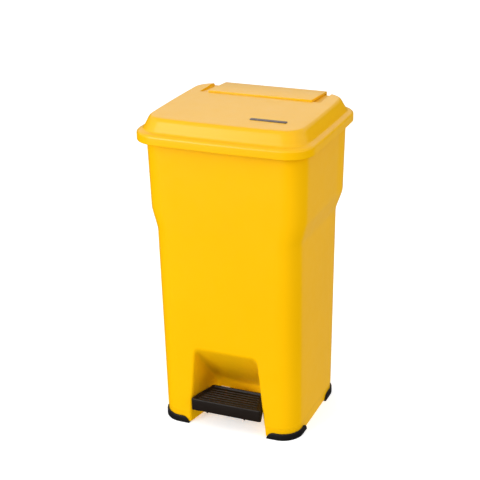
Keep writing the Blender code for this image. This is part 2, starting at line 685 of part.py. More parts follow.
def make_lid_screws(steel):
    names = ("arm_screw_left", "arm_screw_right", "lift_screw_left", "lift_screw_right")
    lift_seat = BOSS_BOTTOM - GAP - CHEEK_THICK
    seats = (ARM_SEAT, ARM_SEAT, lift_seat, lift_seat)
    screws = []
    for name, seat, (x, y) in zip(names, seats, lid_screw_places()):
        screws.append(make_screw(name, (x, y, seat - GAP), (0, 0, 1), 0.0110, steel, 0.0034))
    return screws


# ---------------------------------------------------------------- lift linkage
def make_lift_bracket(steel, nylon):
    """The folded bracket under the lid that carries the roller over the push rod."""
    pad_top = BOSS_BOTTOM - GAP
    pad_low = pad_top - CHEEK_THICK
    inner = ROLLER_HALF_X + CHEEK_GAP
    outer = inner + CHEEK_THICK
    bracket = box("lift_bracket", (-LIFT_PAD_HALF_X, LIFT_PAD_FRONT_Y, pad_low),
                  (LIFT_PAD_HALF_X, BOSS_BACK_Y, pad_top), steel)
    low = ROLLER_Z - ROLLER_RADIUS
    middle = pad_top - CHEEK_THICK / 2
    outline = [(ROLLER_Y - CHEEK_END, low + 0.003), (ROLLER_Y - CHEEK_TIP, low), (ROLLER_Y + CHEEK_TIP, low),
               (ROLLER_Y + CHEEK_END, low + 0.003), (BOSS_BACK_Y - 0.002, middle),
               (LIFT_PAD_FRONT_Y + 0.0004, middle)]
    boolean(bracket, prism("cut_lift_cheeks", outline, -outer, outer, "X"), "UNION")
    cut(bracket, box("cut_lift_space", (-inner, 0.12, 0.69), (inner, 0.19, pad_low)))
    pin_hole = ROLLER_PIN_RADIUS + GAP
    bore(bracket, "cut_lift_bore", ROLLER_Y, ROLLER_Z, pin_hole, -0.02, 0.02)
    screw_holes(bracket, "cut_lift_holes", lid_screw_places()[2:], 0.74, 0.76, "Z")

    edge = 0.0004
    profile = [(0.0, ROLLER_RADIUS - edge), (edge, ROLLER_RADIUS), (2 * ROLLER_HALF_X - edge, ROLLER_RADIUS),
               (2 * ROLLER_HALF_X, ROLLER_RADIUS - edge)]
    roller = turned("lift_roller", profile, (-ROLLER_HALF_X, ROLLER_Y, ROLLER_Z), (1, 0, 0), nylon, 20)
    bore(roller, "cut_roller_bore", ROLLER_Y, ROLLER_Z, pin_hole, -0.03, 0.03)
    end = outer + 0.0018
    profile = [(0.0, 0.0028), (0.0014, 0.0032), (0.0015, ROLLER_PIN_RADIUS),
               (2 * end - 0.0005, ROLLER_PIN_RADIUS), (2 * end, ROLLER_PIN_RADIUS - 0.0005)]
    pin = turned("roller_pin", profile, (-end, ROLLER_Y, ROLLER_Z), (1, 0, 0), steel, 12)
    return [bracket, roller, pin]


def make_push_rod(steel, nylon):
    cap_top = ROLLER_Z - ROLLER_RADIUS - LINKAGE_GAP
    cap_low = cap_top - ROD_CAP_HEIGHT
    foot_low = LEVER_TOP + LINKAGE_GAP
    rod_low = foot_low + ROD_SEAT
    rod_high = cap_top - ROD_SEAT
    rod = turned("push_rod", [(0.0, ROD_RADIUS), (rod_high - rod_low, ROD_RADIUS)], (0, ROD_Y, rod_low),
                 (0, 0, 1), steel)
    profile = [(0.0, 0.0060), (0.005, ROD_CAP_RADIUS), (ROD_CAP_HEIGHT, ROD_CAP_RADIUS)]
    cap = turned("rod_cap", profile, (0, ROD_Y, cap_low), (0, 0, 1), nylon)
    bore(cap, "cut_cap_bore", 0, ROD_Y, ROD_RADIUS + GAP, cap_low - 0.01, rod_high + GAP, "Z")
    profile = [(0.0, ROD_FOOT_RADIUS), (ROD_FOOT_HEIGHT, ROD_FOOT_RADIUS)]
    foot = turned("rod_foot", profile, (0, ROD_Y, foot_low), (0, 0, 1), nylon)
    bore(foot, "cut_foot_bore", 0, ROD_Y, ROD_RADIUS + GAP, rod_low - GAP, foot_low + 0.02, "Z")
    return [rod, cap, foot]


def make_rod_guides(nylon):
    for label, z in zip(("lower", "upper"), GUIDE_HEIGHTS):
        guide = box(f"rod_guide_{label}", (-CHANNEL_HALF_X + GAP, CHANNEL_FRONT_Y + GAP, z),
                    (CHANNEL_HALF_X - GAP, tub_half_y(z) - 0.001, z + GUIDE_TALL), nylon)
        bore(guide, f"cut_guide_{label}", 0, ROD_Y, ROD_RADIUS + GAP, z - 0.01, z + 0.03, "Z")


# ---------------------------------------------------------------- pedal
def make_lever(steel):
    """A folded steel channel from under the pedal to below the push rod."""
    lever = prism("pedal_lever", LEVER_UPPER + LEVER_LOWER, -LEVER_HALF_X, LEVER_HALF_X, "X", steel)
    past = LEVER_END_Y + 0.01
    ahead = LEVER_UPPER[0][0] - 0.01
    under = [(y, z - LEVER_SHEET) for y, z in LEVER_UPPER]
    hollow = [(ahead, under[0][1]), *under[1:3], (past, under[3][1]), (past, 0.01), (ahead, 0.01)]
    inner = LEVER_HALF_X - LEVER_SHEET
    cut(lever, prism("cut_lever_hollow", hollow, -inner, inner, "X"))
    for side, label in ((-1, "left"), (1, "right")):
        low, high = sorted((side * TONGUE_HALF_X, side * 0.05))
        cut(lever, box(f"cut_lever_tongue_{label}", (low, TONGUE_START_Y, 0.0), (high, 0.17, 0.08)))
    bore(lever, "cut_lever_bore", AXLE_Y, AXLE_Z, AXLE_RADIUS + GAP, -0.05, 0.05)
    screw_holes(lever, "cut_lever_holes", [(0.0, y) for y in PEDAL_SCREW_Y], 0.05, 0.08, "Z")
    return lever


def pedal_outline(inset):
    """Plan of the pedal: wider at the front, with small rounded corners."""
    radius = max(PEDAL_CORNER - inset, 0.002)
    front = PEDAL_FRONT_Y + inset
    back = PEDAL_BACK_Y - inset
    half_front = PEDAL_HALF_FRONT - inset
    half_back = PEDAL_HALF_BACK - inset
    right = circle(half_front - radius, front + radius, radius, 4, -90.0, 82.0)
    right += circle(half_back - radius, back - radius, radius, 4, -8.0, 98.0)
    return right + [(-x, y) for x, y in reversed(right)]


def make_pedal(black):
    """The pedal: a hollow tray with a raised rim, ribs across its tread and two small stops."""
    pedal = prism("pedal_plate", pedal_outline(0.0), PEDAL_BOTTOM, PEDAL_TOP, "Z", black)
    tread_floor = PEDAL_TOP - TREAD_DEPTH
    tread = prism("cut_tread", pedal_outline(PEDAL_RIM), tread_floor, PEDAL_TOP + 0.01, "Z")
    pitch = (PEDAL_BACK_Y - PEDAL_FRONT_Y - 2 * PEDAL_RIM) / (TREAD_RIBS + 1)
    for index in range(TREAD_RIBS):
        middle = PEDAL_FRONT_Y + PEDAL_RIM + pitch * (index + 1)
        rib = box(f"cut_tread_rib_{index}", (-0.2, middle - RIB_HALF, tread_floor - 0.01),
                  (0.2, middle + RIB_HALF, tread_floor + RIB_HEIGHT))
        cut(tread, rib)
    hollow_top = tread_floor - PEDAL_SKIN
    hollow = prism("cut_pedal_hollow", pedal_outline(PEDAL_SKIN), PEDAL_BOTTOM - 0.01, hollow_top, "Z")
    cut(pedal, tread, hollow)
    gate = box("cut_pedal_gate", (-LEVER_HALF_X - 0.001, PEDAL_BACK_Y - 0.012, 0.03),
               (LEVER_HALF_X + 0.001, PEDAL_BACK_Y + 0.01, hollow_top))
    cut(pedal, gate)
    centres = [(0.0, y) for y in PEDAL_SCREW_Y]
    screw_holes(pedal, "cut_pedal_holes", centres, 0.06, hollow_top + 0.0016, "Z")
    for side, label in ((-1, "left"), (1, "right")):
        stop = box(f"cut_stop_{label}", (side * STOP_X - STOP_HALF, PEDAL_FRONT_Y + 0.0005, STOP_BOTTOM),
                   (side * STOP_X + STOP_HALF, PEDAL_FRONT_Y + 0.0028, PEDAL_BOTTOM + 0.001))
        boolean(pedal, stop, "UNION")
    return pedal


def make_pedal_screws(steel):
    seat = PEDAL_SEAT - LEVER_SHEET - GAP
    return [make_screw(f"pedal_screw_{label}", (0, y, seat), (0, 0, 1), 0.0044, steel)
            for label, y in zip(("front", "rear"), PEDAL_SCREW_Y)]


def make_axle(steel, black):
    """The axle under the tub's floor, hung from two brackets and held by a clip at each end."""
    profile = [(0.0, AXLE_RADIUS - AXLE_EDGE), (AXLE_EDGE, AXLE_RADIUS),
               (2 * AXLE_HALF_X - AXLE_EDGE, AXLE_RADIUS), (2 * AXLE_HALF_X, AXLE_RADIUS - AXLE_EDGE)]
    turned("pedal_axle", profile, (-AXLE_HALF_X, AXLE_Y, AXLE_Z), (1, 0, 0), steel)
    for side, label in ((-1, "left"), (1, "right")):
        make_axle_bracket(side, label, steel, black)
        outer = side * (BRACKET_X + AXLE_BRACKET_THICK)
        clip_low = min(outer + side * 0.0005, outer + side * (0.0005 + CLIP_THICK))
        clip = turned(f"axle_clip_{label}", [(0.0, CLIP_RADIUS), (CLIP_THICK, CLIP_RADIUS)],
                      (clip_low, AXLE_Y, AXLE_Z), (1, 0, 0), steel)
        bore(clip, f"cut_clip_bore_{label}", AXLE_Y, AXLE_Z, AXLE_RADIUS + GAP, -0.09, 0.09)


def make_axle_bracket(side, label, steel, black):
    top = FLOOR_UNDERSIDE - GAP
    inner = side * BRACKET_X
    low, high = sorted((inner, side * (BRACKET_X + AXLE_BRACKET_THICK)))
    outline = [(AXLE_Y - HANGER_TOP_HALF, top), (AXLE_Y - HANGER_RADIUS, AXLE_Z)]
    outline += circle(AXLE_Y, AXLE_Z, HANGER_RADIUS, 8, 180.0, 180.0)[1:]
    outline += [(AXLE_Y + HANGER_TOP_HALF, top)]
    bracket = prism(f"axle_bracket_{label}", outline, low, high, "X", black)
    flange_low, flange_high = sorted((inner + side * 0.001, side * (BRACKET_X + FLANGE_REACH)))
    flange = box(f"cut_axle_flange_{label}", (flange_low, AXLE_Y - 0.0118, top - FLANGE_THICK),
                 (flange_high, AXLE_Y + 0.0118, top))
    boolean(bracket, flange, "UNION")
    bore(bracket, f"cut_axle_bore_{label}", AXLE_Y, AXLE_Z, AXLE_RADIUS + GAP, -0.08, 0.08)
    screw_x = side * (BRACKET_X + FLANGE_SCREW)
    screw_holes(bracket, f"cut_axle_hole_{label}", [(screw_x, AXLE_Y)], top - 0.02, top + 0.02, "Z")
    make_screw(f"axle_screw_{label}", (screw_x, AXLE_Y, top - FLANGE_THICK - GAP), (0, 0, 1), 0.0029, steel)


# ---------------------------------------------------------------- the bin
def main():
    clear_scene()
    yellow = make_material("yellow_plastic", (0.90, 0.53, 0.02), 0.38)
    black = make_material("black_plastic", (0.018, 0.017, 0.018), 0.50)
    rubber = make_material("black_rubber", (0.022, 0.021, 0.022), 0.75)
    steel = make_material("zinc_plated_steel", (0.62, 0.62, 0.60), 0.32, 1.0)
    nylon = make_material("white_nylon", (0.80, 0.79, 0.74), 0.45)
    dark = make_material("dark_badge", (0.10, 0.07, 0.06), 0.35)

    make_tub(yellow)
    make_feet(rubber)
    make_channel_cover(yellow)
    make_wall_screws(steel)
    make_rod_guides(nylon)
    make_axle(steel, black)

    lid_body = [make_lid(yellow), make_hinge_cover(yellow), make_badge(dark)]
    lid_body += make_lid_buffers(rubber)
    lid_body += make_hinges(steel, black)
    lid_body += make_lid_screws(steel)
    lid_body += make_lift_bracket(steel, nylon)
    hang("lid_axis", (0, HINGE_Y, HINGE_Z), lid_body)

    hang("rod_axis", (0, ROD_Y, LEVER_TOP), make_push_rod(steel, nylon))

    pedal_body = [make_lever(steel), make_pedal(black)] + make_pedal_screws(steel)
    hang("pedal_axis", (0, AXLE_Y, AXLE_Z), pedal_body)


main()
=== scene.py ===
import json
import math

import bmesh
import bpy
from mathutils import Matrix, Vector


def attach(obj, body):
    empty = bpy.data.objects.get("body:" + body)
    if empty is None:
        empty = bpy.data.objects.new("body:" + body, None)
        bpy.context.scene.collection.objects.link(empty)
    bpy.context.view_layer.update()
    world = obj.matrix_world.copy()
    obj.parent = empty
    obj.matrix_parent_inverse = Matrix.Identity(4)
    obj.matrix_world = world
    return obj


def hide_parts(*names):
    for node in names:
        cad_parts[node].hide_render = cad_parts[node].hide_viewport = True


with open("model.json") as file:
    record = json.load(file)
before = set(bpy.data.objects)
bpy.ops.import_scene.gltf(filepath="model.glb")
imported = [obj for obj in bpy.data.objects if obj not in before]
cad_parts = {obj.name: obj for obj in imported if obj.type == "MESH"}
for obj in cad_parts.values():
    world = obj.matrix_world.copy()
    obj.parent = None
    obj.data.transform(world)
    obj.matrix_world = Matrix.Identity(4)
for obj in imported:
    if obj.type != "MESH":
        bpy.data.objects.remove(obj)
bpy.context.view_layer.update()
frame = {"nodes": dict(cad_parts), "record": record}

# ------------------------------------------------------------------ dimensions, in metres
WALL = 0.0032
GAP = 0.0003

TUB_BOTTOM = 0.003
BAND_TOP = 0.028
BAND_INSET = 0.0012
SHOULDER_LOW = 0.5075
SHOULDER_HIGH = 0.5575
SHOULDER_SOFT = 0.0065
SEAT_LEVEL = 0.728
RIM_TOP = 0.745
TUB_HALF_X_BOTTOM = 0.1775
TUB_HALF_X_SHOULDER = 0.1812
TUB_HALF_X_ABOVE = 0.1942
TUB_HALF_X_TOP = 0.1978
TUB_HALF_Y_BOTTOM = 0.1553
TUB_HALF_Y_TOP = 0.1710
TUB_RADIUS = 0.0475
TUB_BOW = 0.0015
REAR_FLARE = 0.0036
REAR_FLARE_START = 0.085
REAR_FLARE_END = 0.125
FLOOR_UNDERSIDE = 0.094

WELL_FRONT_Y = -0.157
WELL_BACK_Y = -0.038
WELL_TOP_FRONT = 0.212
WELL_TOP_BACK = 0.0733
WELL_HALF_FRONT = 0.1000
WELL_HALF_BACK = 0.0775
WELL_LEAN = 0.094
WELL_CORNER_FRONT = 0.013
WELL_CORNER_BACK = 0.018
WELL_LIP = 0.0055
WELL_HEEL = 0.0060
GATE_HALF_X = 0.066
GATE_TOP = 0.052
PATCH_HALF_X = 0.116
PATCH_TOP = 0.330
LEVEL_ROWS_TOP = 0.042

CHANNEL_HALF_X = 0.024
CHANNEL_FRONT_Y = 0.128
CHANNEL_BOTTOM = 0.034

FOOT_HEIGHT = 0.0175
FOOT_HALF_X = 0.1808
FOOT_HALF_Y = 0.1585
FOOT_RADIUS = 0.0505
FOOT_END_X = 0.103
FOOT_END_Y = {-1: 0.078, 1: 0.067}
FOOT_CURVE = 0.020
FOOT_PAD = 0.022
FOOT_TOE = 0.002

LID_HALF_X = 0.2166
LID_HALF_Y = 0.1971
LID_RADIUS = 0.057
LID_SKIN = 0.0033
LID_BOW_X = 0.003
LID_BOW_Y = 0.006
DOME_RADIUS = 0.050
CROWN_RISE = 0.0012
CROWN_PEAK_Y = 0.020
DOME_TOP = 0.7845

COVER_TOP = 0.789
COVER_HALF_X = 0.1325
COVER_FRONT_Y = 0.0765
COVER_BACK_Y = 0.1900
COVER_SKIN = 0.003
COVER_BACK_TOP = 0.7820
POCKET_HALF_X = 0.1535
POCKET_FLOOR_FRONT = 0.7812
POCKET_FLOOR_BACK = 0.7765
POCKET_BACK_Y = 0.175
APRON_FRONT_Y = 0.1850
APRON_BOTTOM = 0.7545
HINGE_X = 0.112
BOSS_BOTTOM = 0.7525
BOSS_FRONT_Y = 0.148
BOSS_BACK_Y = 0.165
BOSS_HALF_X = 0.018

SCREW_HOLE = 0.0022
COVER_SCREW_X = 0.0290
COVER_SCREW_HEIGHTS = (0.060, 0.640)
HINGE_SCREW_HEIGHT = 0.701
HINGE_SCREW_SHIFT = 0.008
LIFT_SCREW_X = 0.0152

BADGE_X = 0.0938
BADGE_Y = -0.1045
BADGE_HALF_X = 0.0437
BADGE_HALF_Y = 0.0055
BADGE_FLOOR = 0.7835
BADGE_TOP = 0.7868
BADGE_RADIUS = 0.0025

PEDAL_FRONT_Y = -0.1655
PEDAL_BACK_Y = -0.0790
PEDAL_HALF_FRONT = 0.0917
PEDAL_HALF_BACK = 0.0705
PEDAL_BOTTOM = 0.0460
PEDAL_TOP = 0.0770
PEDAL_RIM = 0.0055
TREAD_DEPTH = 0.0045
TREAD_RIBS = 6
RIB_HALF = 0.0022
RIB_HEIGHT = 0.0012
STOP_X = 0.049
STOP_BOTTOM = 0.0435
STOP_HALF = 0.0020
PEDAL_CORNER = 0.006
LEVER_GATE_HALF_X = 0.031

# a length well past the bin, for shapes that only cut
BEYOND_Y = 0.21
ABOVE_LID = 0.80


# ------------------------------------------------------------------ mesh tools
def link(name, mesh, smooth_angle=40.0):
    mesh.shade_smooth()
    mesh.set_sharp_from_angle(angle=math.radians(smooth_angle))
    obj = bpy.data.objects.new(name, mesh)
    bpy.context.scene.collection.objects.link(obj)
    return obj


def from_bmesh(name, bm, smooth_angle=40.0):
    bmesh.ops.recalc_face_normals(bm, faces=bm.faces)
    if bm.calc_volume(signed=True) < 0:
        bmesh.ops.reverse_faces(bm, faces=bm.faces)
    mesh = bpy.data.meshes.new(name)
    bm.to_mesh(mesh)
    bm.free()
    return link(name, mesh, smooth_angle)


def loft(name, rings, smooth_angle=40.0):
    """A closed solid through rings of points, each with the same number of points."""
    bm = bmesh.new()
    loops = [[bm.verts.new(point) for point in ring] for ring in rings]
    for low, high in zip(loops, loops[1:]):
        for i in range(len(low)):
            j = (i + 1) % len(low)
            bm.faces.new((low[i], low[j], high[j], high[i]))
    bm.faces.new(list(reversed(loops[0])))
    bm.faces.new(loops[-1])
    return from_bmesh(name, bm, smooth_angle)


def prism(name, outline, low, high, axis="X"):
    place = {"X": lambda u, v, w: (w, u, v), "Y": lambda u, v, w: (u, w, v),
             "Z": lambda u, v, w: (u, v, w)}[axis]
    return loft(name, [[place(u, v, w) for u, v in outline] for w in (low, high)])


def block(name, low, high):
    outline = [(low[0], low[1]), (high[0], low[1]), (high[0], high[1]), (low[0], high[1])]
    return prism(name, outline, low[2], high[2], "Z")


def arc(centre_u, centre_v, radius, steps, start, sweep):
    angles = [math.radians(start + sweep * i / steps) for i in range(steps + 1)]
    return [(centre_u + radius * math.cos(a), centre_v + radius * math.sin(a)) for a in angles]


def apply_modifiers(obj):
    graph = bpy.context.evaluated_depsgraph_get()
    mesh = bpy.data.meshes.new_from_object(obj.evaluated_get(graph))
    obj.modifiers.clear()
    obj.data = mesh


def combine(target, tool, operation="DIFFERENCE"):
    modifier = target.modifiers.new("cut", "BOOLEAN")
    modifier.operation = operation
    modifier.solver = "EXACT"
    modifier.object = tool
    apply_modifiers(target)
    bpy.data.objects.remove(tool, do_unlink=True)


def cut(target, *tools):
    for tool in tools:
        combine(target, tool)


def resharpen(obj, angle):
    obj.data.shade_smooth()
    obj.data.set_sharp_from_angle(angle=math.radians(angle))


def bevel(obj, width, segments=3, angle=30.0):
    modifier = obj.modifiers.new("edges", "BEVEL")
    modifier.width = width
    modifier.segments = segments
    modifier.limit_method = "ANGLE"
    modifier.angle_limit = math.radians(angle)
    modifier.harden_normals = False
    apply_modifiers(obj)


def smooth_step(value, low, high):
    t = min(max((value - low) / (high - low), 0.0), 1.0)
    return t * t * (3 - 2 * t)


def mix(a, b, t):
    return a + (b - a) * t


def soften(points, reach, steps=4):
    """Rounds the corners of an open polyline; reach gives each inner corner's cut-back."""
    result = [points[0]]
    for index in range(1, len(points) - 1):
        before, here, after = points[index - 1], points[index], points[index + 1]
        back = math.dist(before[:2], here[:2])
        ahead = math.dist(here[:2], after[:2])
        cutback = min(reach[index - 1], 0.49 * back, 0.49 * ahead)
        if cutback <= 0:
            result.append(here)
            continue
        start = [mix(h, b, cutback / back) for h, b in zip(here, before)]
        end = [mix(h, a, cutback / ahead) for h, a in zip(here, after)]
        for i in range(steps + 1):
            t = i / steps
            result.append(tuple((1 - t) ** 2 * s + 2 * t * (1 - t) * h + t * t * e
                                for s, h, e in zip(start, here, end)))
    result.append(points[-1])
    return result


# ------------------------------------------------------------------ outlines
def rounded_outline(half_x, half_y, radius, bow_x=0.0, bow_y=0.0, corner=12, side=20, fixed=None):
    """A rounded rectangle whose sides bulge, from the front's left end anticlockwise."""
    flat_x = half_x - bow_x
    flat_y = half_y - bow_y
    end_x = flat_x - radius
    end_y = flat_y - radius
    if fixed:
        lead = [mix(-end_x, fixed[0], i / 3) for i in range(3)]
        front = lead + list(fixed) + [-x for x in reversed(lead)]
    else:
        front = [mix(-end_x, end_x, i / side) for i in range(side + 1)]
    points = [(x, -flat_y) for x in front]
    points += arc(end_x, -end_y, radius, corner, -90, 90)[1:]
    points += [(flat_x, mix(-end_y, end_y, i / side)) for i in range(1, side)]
    points += arc(end_x, end_y, radius, corner, 0, 90)
    points += [(mix(end_x, -end_x, i / side), flat_y) for i in range(1, side)]
    points += arc(-end_x, end_y, radius, corner, 90, 90)
    points += [(-flat_x, mix(end_y, -end_y, i / side)) for i in range(1, side)]
    points += arc(-end_x, -end_y, radius, corner, 180, 90)[:-1]
    bulged = []
    for x, y in points:
        grow_x = 1 + bow_x / flat_x * (1 - (y / flat_y) ** 2)
        grow_y = 1 + bow_y / flat_y * (1 - (x / flat_x) ** 2)
        bulged.append((x * grow_x, y * grow_y))
    return bulged


def tub_half_x_sharp(z):
    if z <= SHOULDER_LOW:
        return mix(TUB_HALF_X_BOTTOM, TUB_HALF_X_SHOULDER, (z - BAND_TOP) / (SHOULDER_LOW - BAND_TOP))
    if z >= SHOULDER_HIGH:
        return mix(TUB_HALF_X_ABOVE, TUB_HALF_X_TOP, (z - SHOULDER_HIGH) / (SEAT_LEVEL - SHOULDER_HIGH))
    return mix(TUB_HALF_X_SHOULDER, TUB_HALF_X_ABOVE,
               (z - SHOULDER_LOW) / (SHOULDER_HIGH - SHOULDER_LOW))


def tub_half_x(z):
    """Half width at height z, with the shoulder's two bends rounded."""
    samples = [tub_half_x_sharp(z + SHOULDER_SOFT * (i / 8 - 1)) for i in range(17)]
    return sum(samples) / len(samples)


def tub_half_y(z):
    return mix(TUB_HALF_Y_BOTTOM, TUB_HALF_Y_TOP, (z - BAND_TOP) / (SEAT_LEVEL - BAND_TOP))


PATCH_COLUMNS = 36
PATCH_XS = [mix(-PATCH_HALF_X, PATCH_HALF_X, i / PATCH_COLUMNS) for i in range(PATCH_COLUMNS + 1)]
PATCH_FIRST = 3


def tub_ring(z, inset, level=None):
    outline = rounded_outline(tub_half_x(z) - inset, tub_half_y(z) - inset, TUB_RADIUS - inset,
                              TUB_BOW, TUB_BOW, fixed=PATCH_XS)
    flare = REAR_FLARE * smooth_step(z, SHOULDER_LOW, SHOULDER_HIGH)
    ring = []
    for x, y in outline:
        widen = flare * smooth_step(y, REAR_FLARE_START, REAR_FLARE_END)
        ring.append((x + math.copysign(widen, x), y, z if level is None else level))
    return ring


def band_inset(z):
    """How far the outer surface stands in from the tub's taper: the lower band and the two rims."""
    foot = 0.0012 * (1 - smooth_step(z, TUB_BOTTOM, TUB_BOTTOM + 0.0016))
    rim = 0.0011 * smooth_step(z, RIM_TOP - 0.0013, RIM_TOP)
    return BAND_INSET * (1 - smooth_step(z, BAND_TOP - 0.0016, BAND_TOP + 0.0032)) + foot + rim


def front_y(x, z):
    inset = band_inset(z)
    flat_x = tub_half_x(z) - inset - TUB_BOW
    flat_y = tub_half_y(z) - inset - TUB_BOW
    return -(flat_y + TUB_BOW * (1 - (x / flat_x) ** 2))


# ------------------------------------------------------------------ tub
def well_path(y, grow, left_rows, top_count):
    """The foot-well's section at depth y, grown outwards: left side, top, right side as (x, z)."""
    t = (y - WELL_FRONT_Y) / (WELL_BACK_Y - WELL_FRONT_Y)
    top = mix(WELL_TOP_FRONT, WELL_TOP_BACK, t) + grow
    base = mix(WELL_HALF_FRONT, WELL_HALF_BACK, t) + grow
    radius = mix(WELL_CORNER_FRONT, WELL_CORNER_BACK, t) + grow
    lean = math.atan(WELL_LEAN)
    centre_z = top - radius
    centre_x = base - WELL_LEAN * centre_z - radius / math.cos(lean)
    side = [(-(base - WELL_LEAN * z), z) for z in left_rows if z <= LEVEL_ROWS_TOP]
    bend = [(centre_x + radius * math.cos(a), centre_z + radius * math.sin(a))
            for a in (lean + (math.pi / 2 - lean) * i / 24 for i in range(25))]
    bend = [(-x, z) for x, z in bend]
    half = bend[:13]
    rest = along([side[-1]] + half, len(left_rows) - len(side) + 1)[1:]
    crest = bend[12:] + [(-x, z) for x, z in reversed(bend[12:])]
    middle = along(crest, top_count + 1)[1:-1]
    left = side + rest
    return left + middle + [(-x, z) for x, z in reversed(left)]


def along(points, count):
    """count points at even distances along a polyline, both ends included."""
    lengths = [0.0]
    for a, b in zip(points, points[1:]):
        lengths.append(lengths[-1] + math.dist(a, b))
    result = []
    segment = 0
    for i in range(count):
        wanted = lengths[-1] * i / (count - 1)
        while segment < len(points) - 2 and lengths[segment + 1] < wanted:
            segment += 1
        span = lengths[segment + 1] - lengths[segment]
        t = (wanted - lengths[segment]) / span if span else 0.0
        result.append(tuple(mix(a, b, t) for a, b in zip(points[segment], points[segment + 1])))
    return result


def tub_levels():
    low = [TUB_BOTTOM, 0.0045, 0.0051, 0.0058, 0.012, 0.020, 0.0262, 0.0270, 0.0278, 0.0286, 0.0294,
           0.0302, 0.0312, 0.0322, LEVEL_ROWS_TOP]
    patch = [mix(LEVEL_ROWS_TOP, PATCH_TOP, i / 26) for i in range(1, 27)]
    plain = [mix(PATCH_TOP, SHOULDER_LOW - 0.010, i / 10) for i in range(1, 11)]
    bend = [mix(SHOULDER_LOW - 0.010, SHOULDER_HIGH + 0.010, i / 28) for i in range(1, 29)]
    upper = [mix(SHOULDER_HIGH + 0.010, RIM_TOP - 0.0014, i / 12) for i in range(1, 13)]
    rim = [RIM_TOP - 0.0010, RIM_TOP - 0.0006, RIM_TOP - 0.0003, RIM_TOP]
    return low, patch, plain + bend + upper + rim


def outer_tub():
    """The tub's outside with the foot-well let into its front, as one closed solid."""
    low, patch, above = tub_levels()
    levels = low + patch + above
    patch_rows = low + patch
    top_row = len(patch_rows) - 1
    bm = bmesh.new()
    first, last = PATCH_FIRST, PATCH_FIRST + PATCH_COLUMNS
    rows = []
    for row, z in enumerate(levels):
        ring = tub_ring(z, band_inset(z))
        rows.append([None if row < top_row and first < i < last else bm.verts.new(p)
                     for i, p in enumerate(ring)])
    count = len(rows[0])
    for row in range(len(levels) - 1):
        for i in range(count):
            j = (i + 1) % count
            if row < top_row and first <= i < last:
                continue
            bm.faces.new((rows[row][i], rows[row][j], rows[row + 1][j], rows[row + 1][i]))

    border = [rows[row][first] for row in range(top_row + 1)]
    border += [rows[top_row][i] for i in range(first + 1, last)]
    border += [rows[row][last] for row in range(top_row, -1, -1)]
    lip = well_path(WELL_FRONT_Y, WELL_LIP, patch_rows, PATCH_COLUMNS)
    layers = [border]
    for step in range(1, 11):
        t = (step / 10) ** 0.8
        layer = []
        for vert, (x, z) in zip(border, lip):
            u, w = mix(vert.co.x, x, t), mix(vert.co.z, z, t)
            layer.append(bm.verts.new((u, front_y(u, w), w)))
        layers.append(layer)
    for step in range(1, 8):
        angle = math.radians(90 * step / 7)
        depth = WELL_LIP * (1 - math.cos(angle))
        path = well_path(WELL_FRONT_Y + depth, WELL_LIP * (1 - math.sin(angle)), patch_rows, PATCH_COLUMNS)
        layers.append([bm.verts.new((x, front_y(x, z) + depth, z)) for x, z in path])
    mouth = [vert.co.y for vert in layers[-1]]
    for step in range(1, 19):
        layer = []
        deep = WELL_BACK_Y - WELL_HEEL
        path = well_path(mix(WELL_FRONT_Y + WELL_LIP, deep, step / 18), 0.0, patch_rows, PATCH_COLUMNS)
        for start, (x, z) in zip(mouth, path):
            layer.append(bm.verts.new((x, mix(start, deep, step / 18), z)))
        layers.append(layer)
    for step in range(1, 8):
        angle = math.radians(90 * step / 7)
        y = WELL_BACK_Y - WELL_HEEL * (1 - math.sin(angle))
        path = well_path(y, -WELL_HEEL * (1 - math.cos(angle)), patch_rows, PATCH_COLUMNS)
        layers.append([bm.verts.new((x, y, z)) for x, z in path])
    for outside, inside in zip(layers, layers[1:]):
        for i in range(len(outside) - 1):
            bm.faces.new((outside[i], outside[i + 1], inside[i + 1], inside[i]))
    bm.faces.new(layers[-1])
    bm.faces.new(rows[-1])
    around = [rows[0][i % count] for i in range(last, last + count - PATCH_COLUMNS + 1)]
    left = [layer[0] for layer in layers[1:]]
    right = [layer[-1] for layer in layers[1:]]
    bm.faces.new(around + left + list(reversed(right)))
    return from_bmesh("tub_moulding", bm)


def tub_inside(levels, inset, name):
    return loft(name, [tub_ring(z, inset + extra, z) for z, extra in levels])


def well_wall_solid():
    rings = []
    rows = [0.004 - 0.03, 0.010] + [LEVEL_ROWS_TOP + 0.012 * i for i in range(15)]
    for step in range(9):
        y = mix(-0.19, WELL_BACK_Y + WALL, step / 8)
        rings.append([(x, y, z) for x, z in well_path(min(y, WELL_BACK_Y), WALL, rows, 24)])
    return loft("well_wall", rings)


def wall_screw_places():
    """x and z of the screws in the back wall: first the channel cover's, then the hinges'."""
    places = [(side * COVER_SCREW_X, z) for z in COVER_SCREW_HEIGHTS for side in (-1, 1)]
    shifts = (-HINGE_SCREW_SHIFT, HINGE_SCREW_SHIFT)
    return places + [(side * HINGE_X + shift, HINGE_SCREW_HEIGHT) for side in (-1, 1) for shift in shifts]


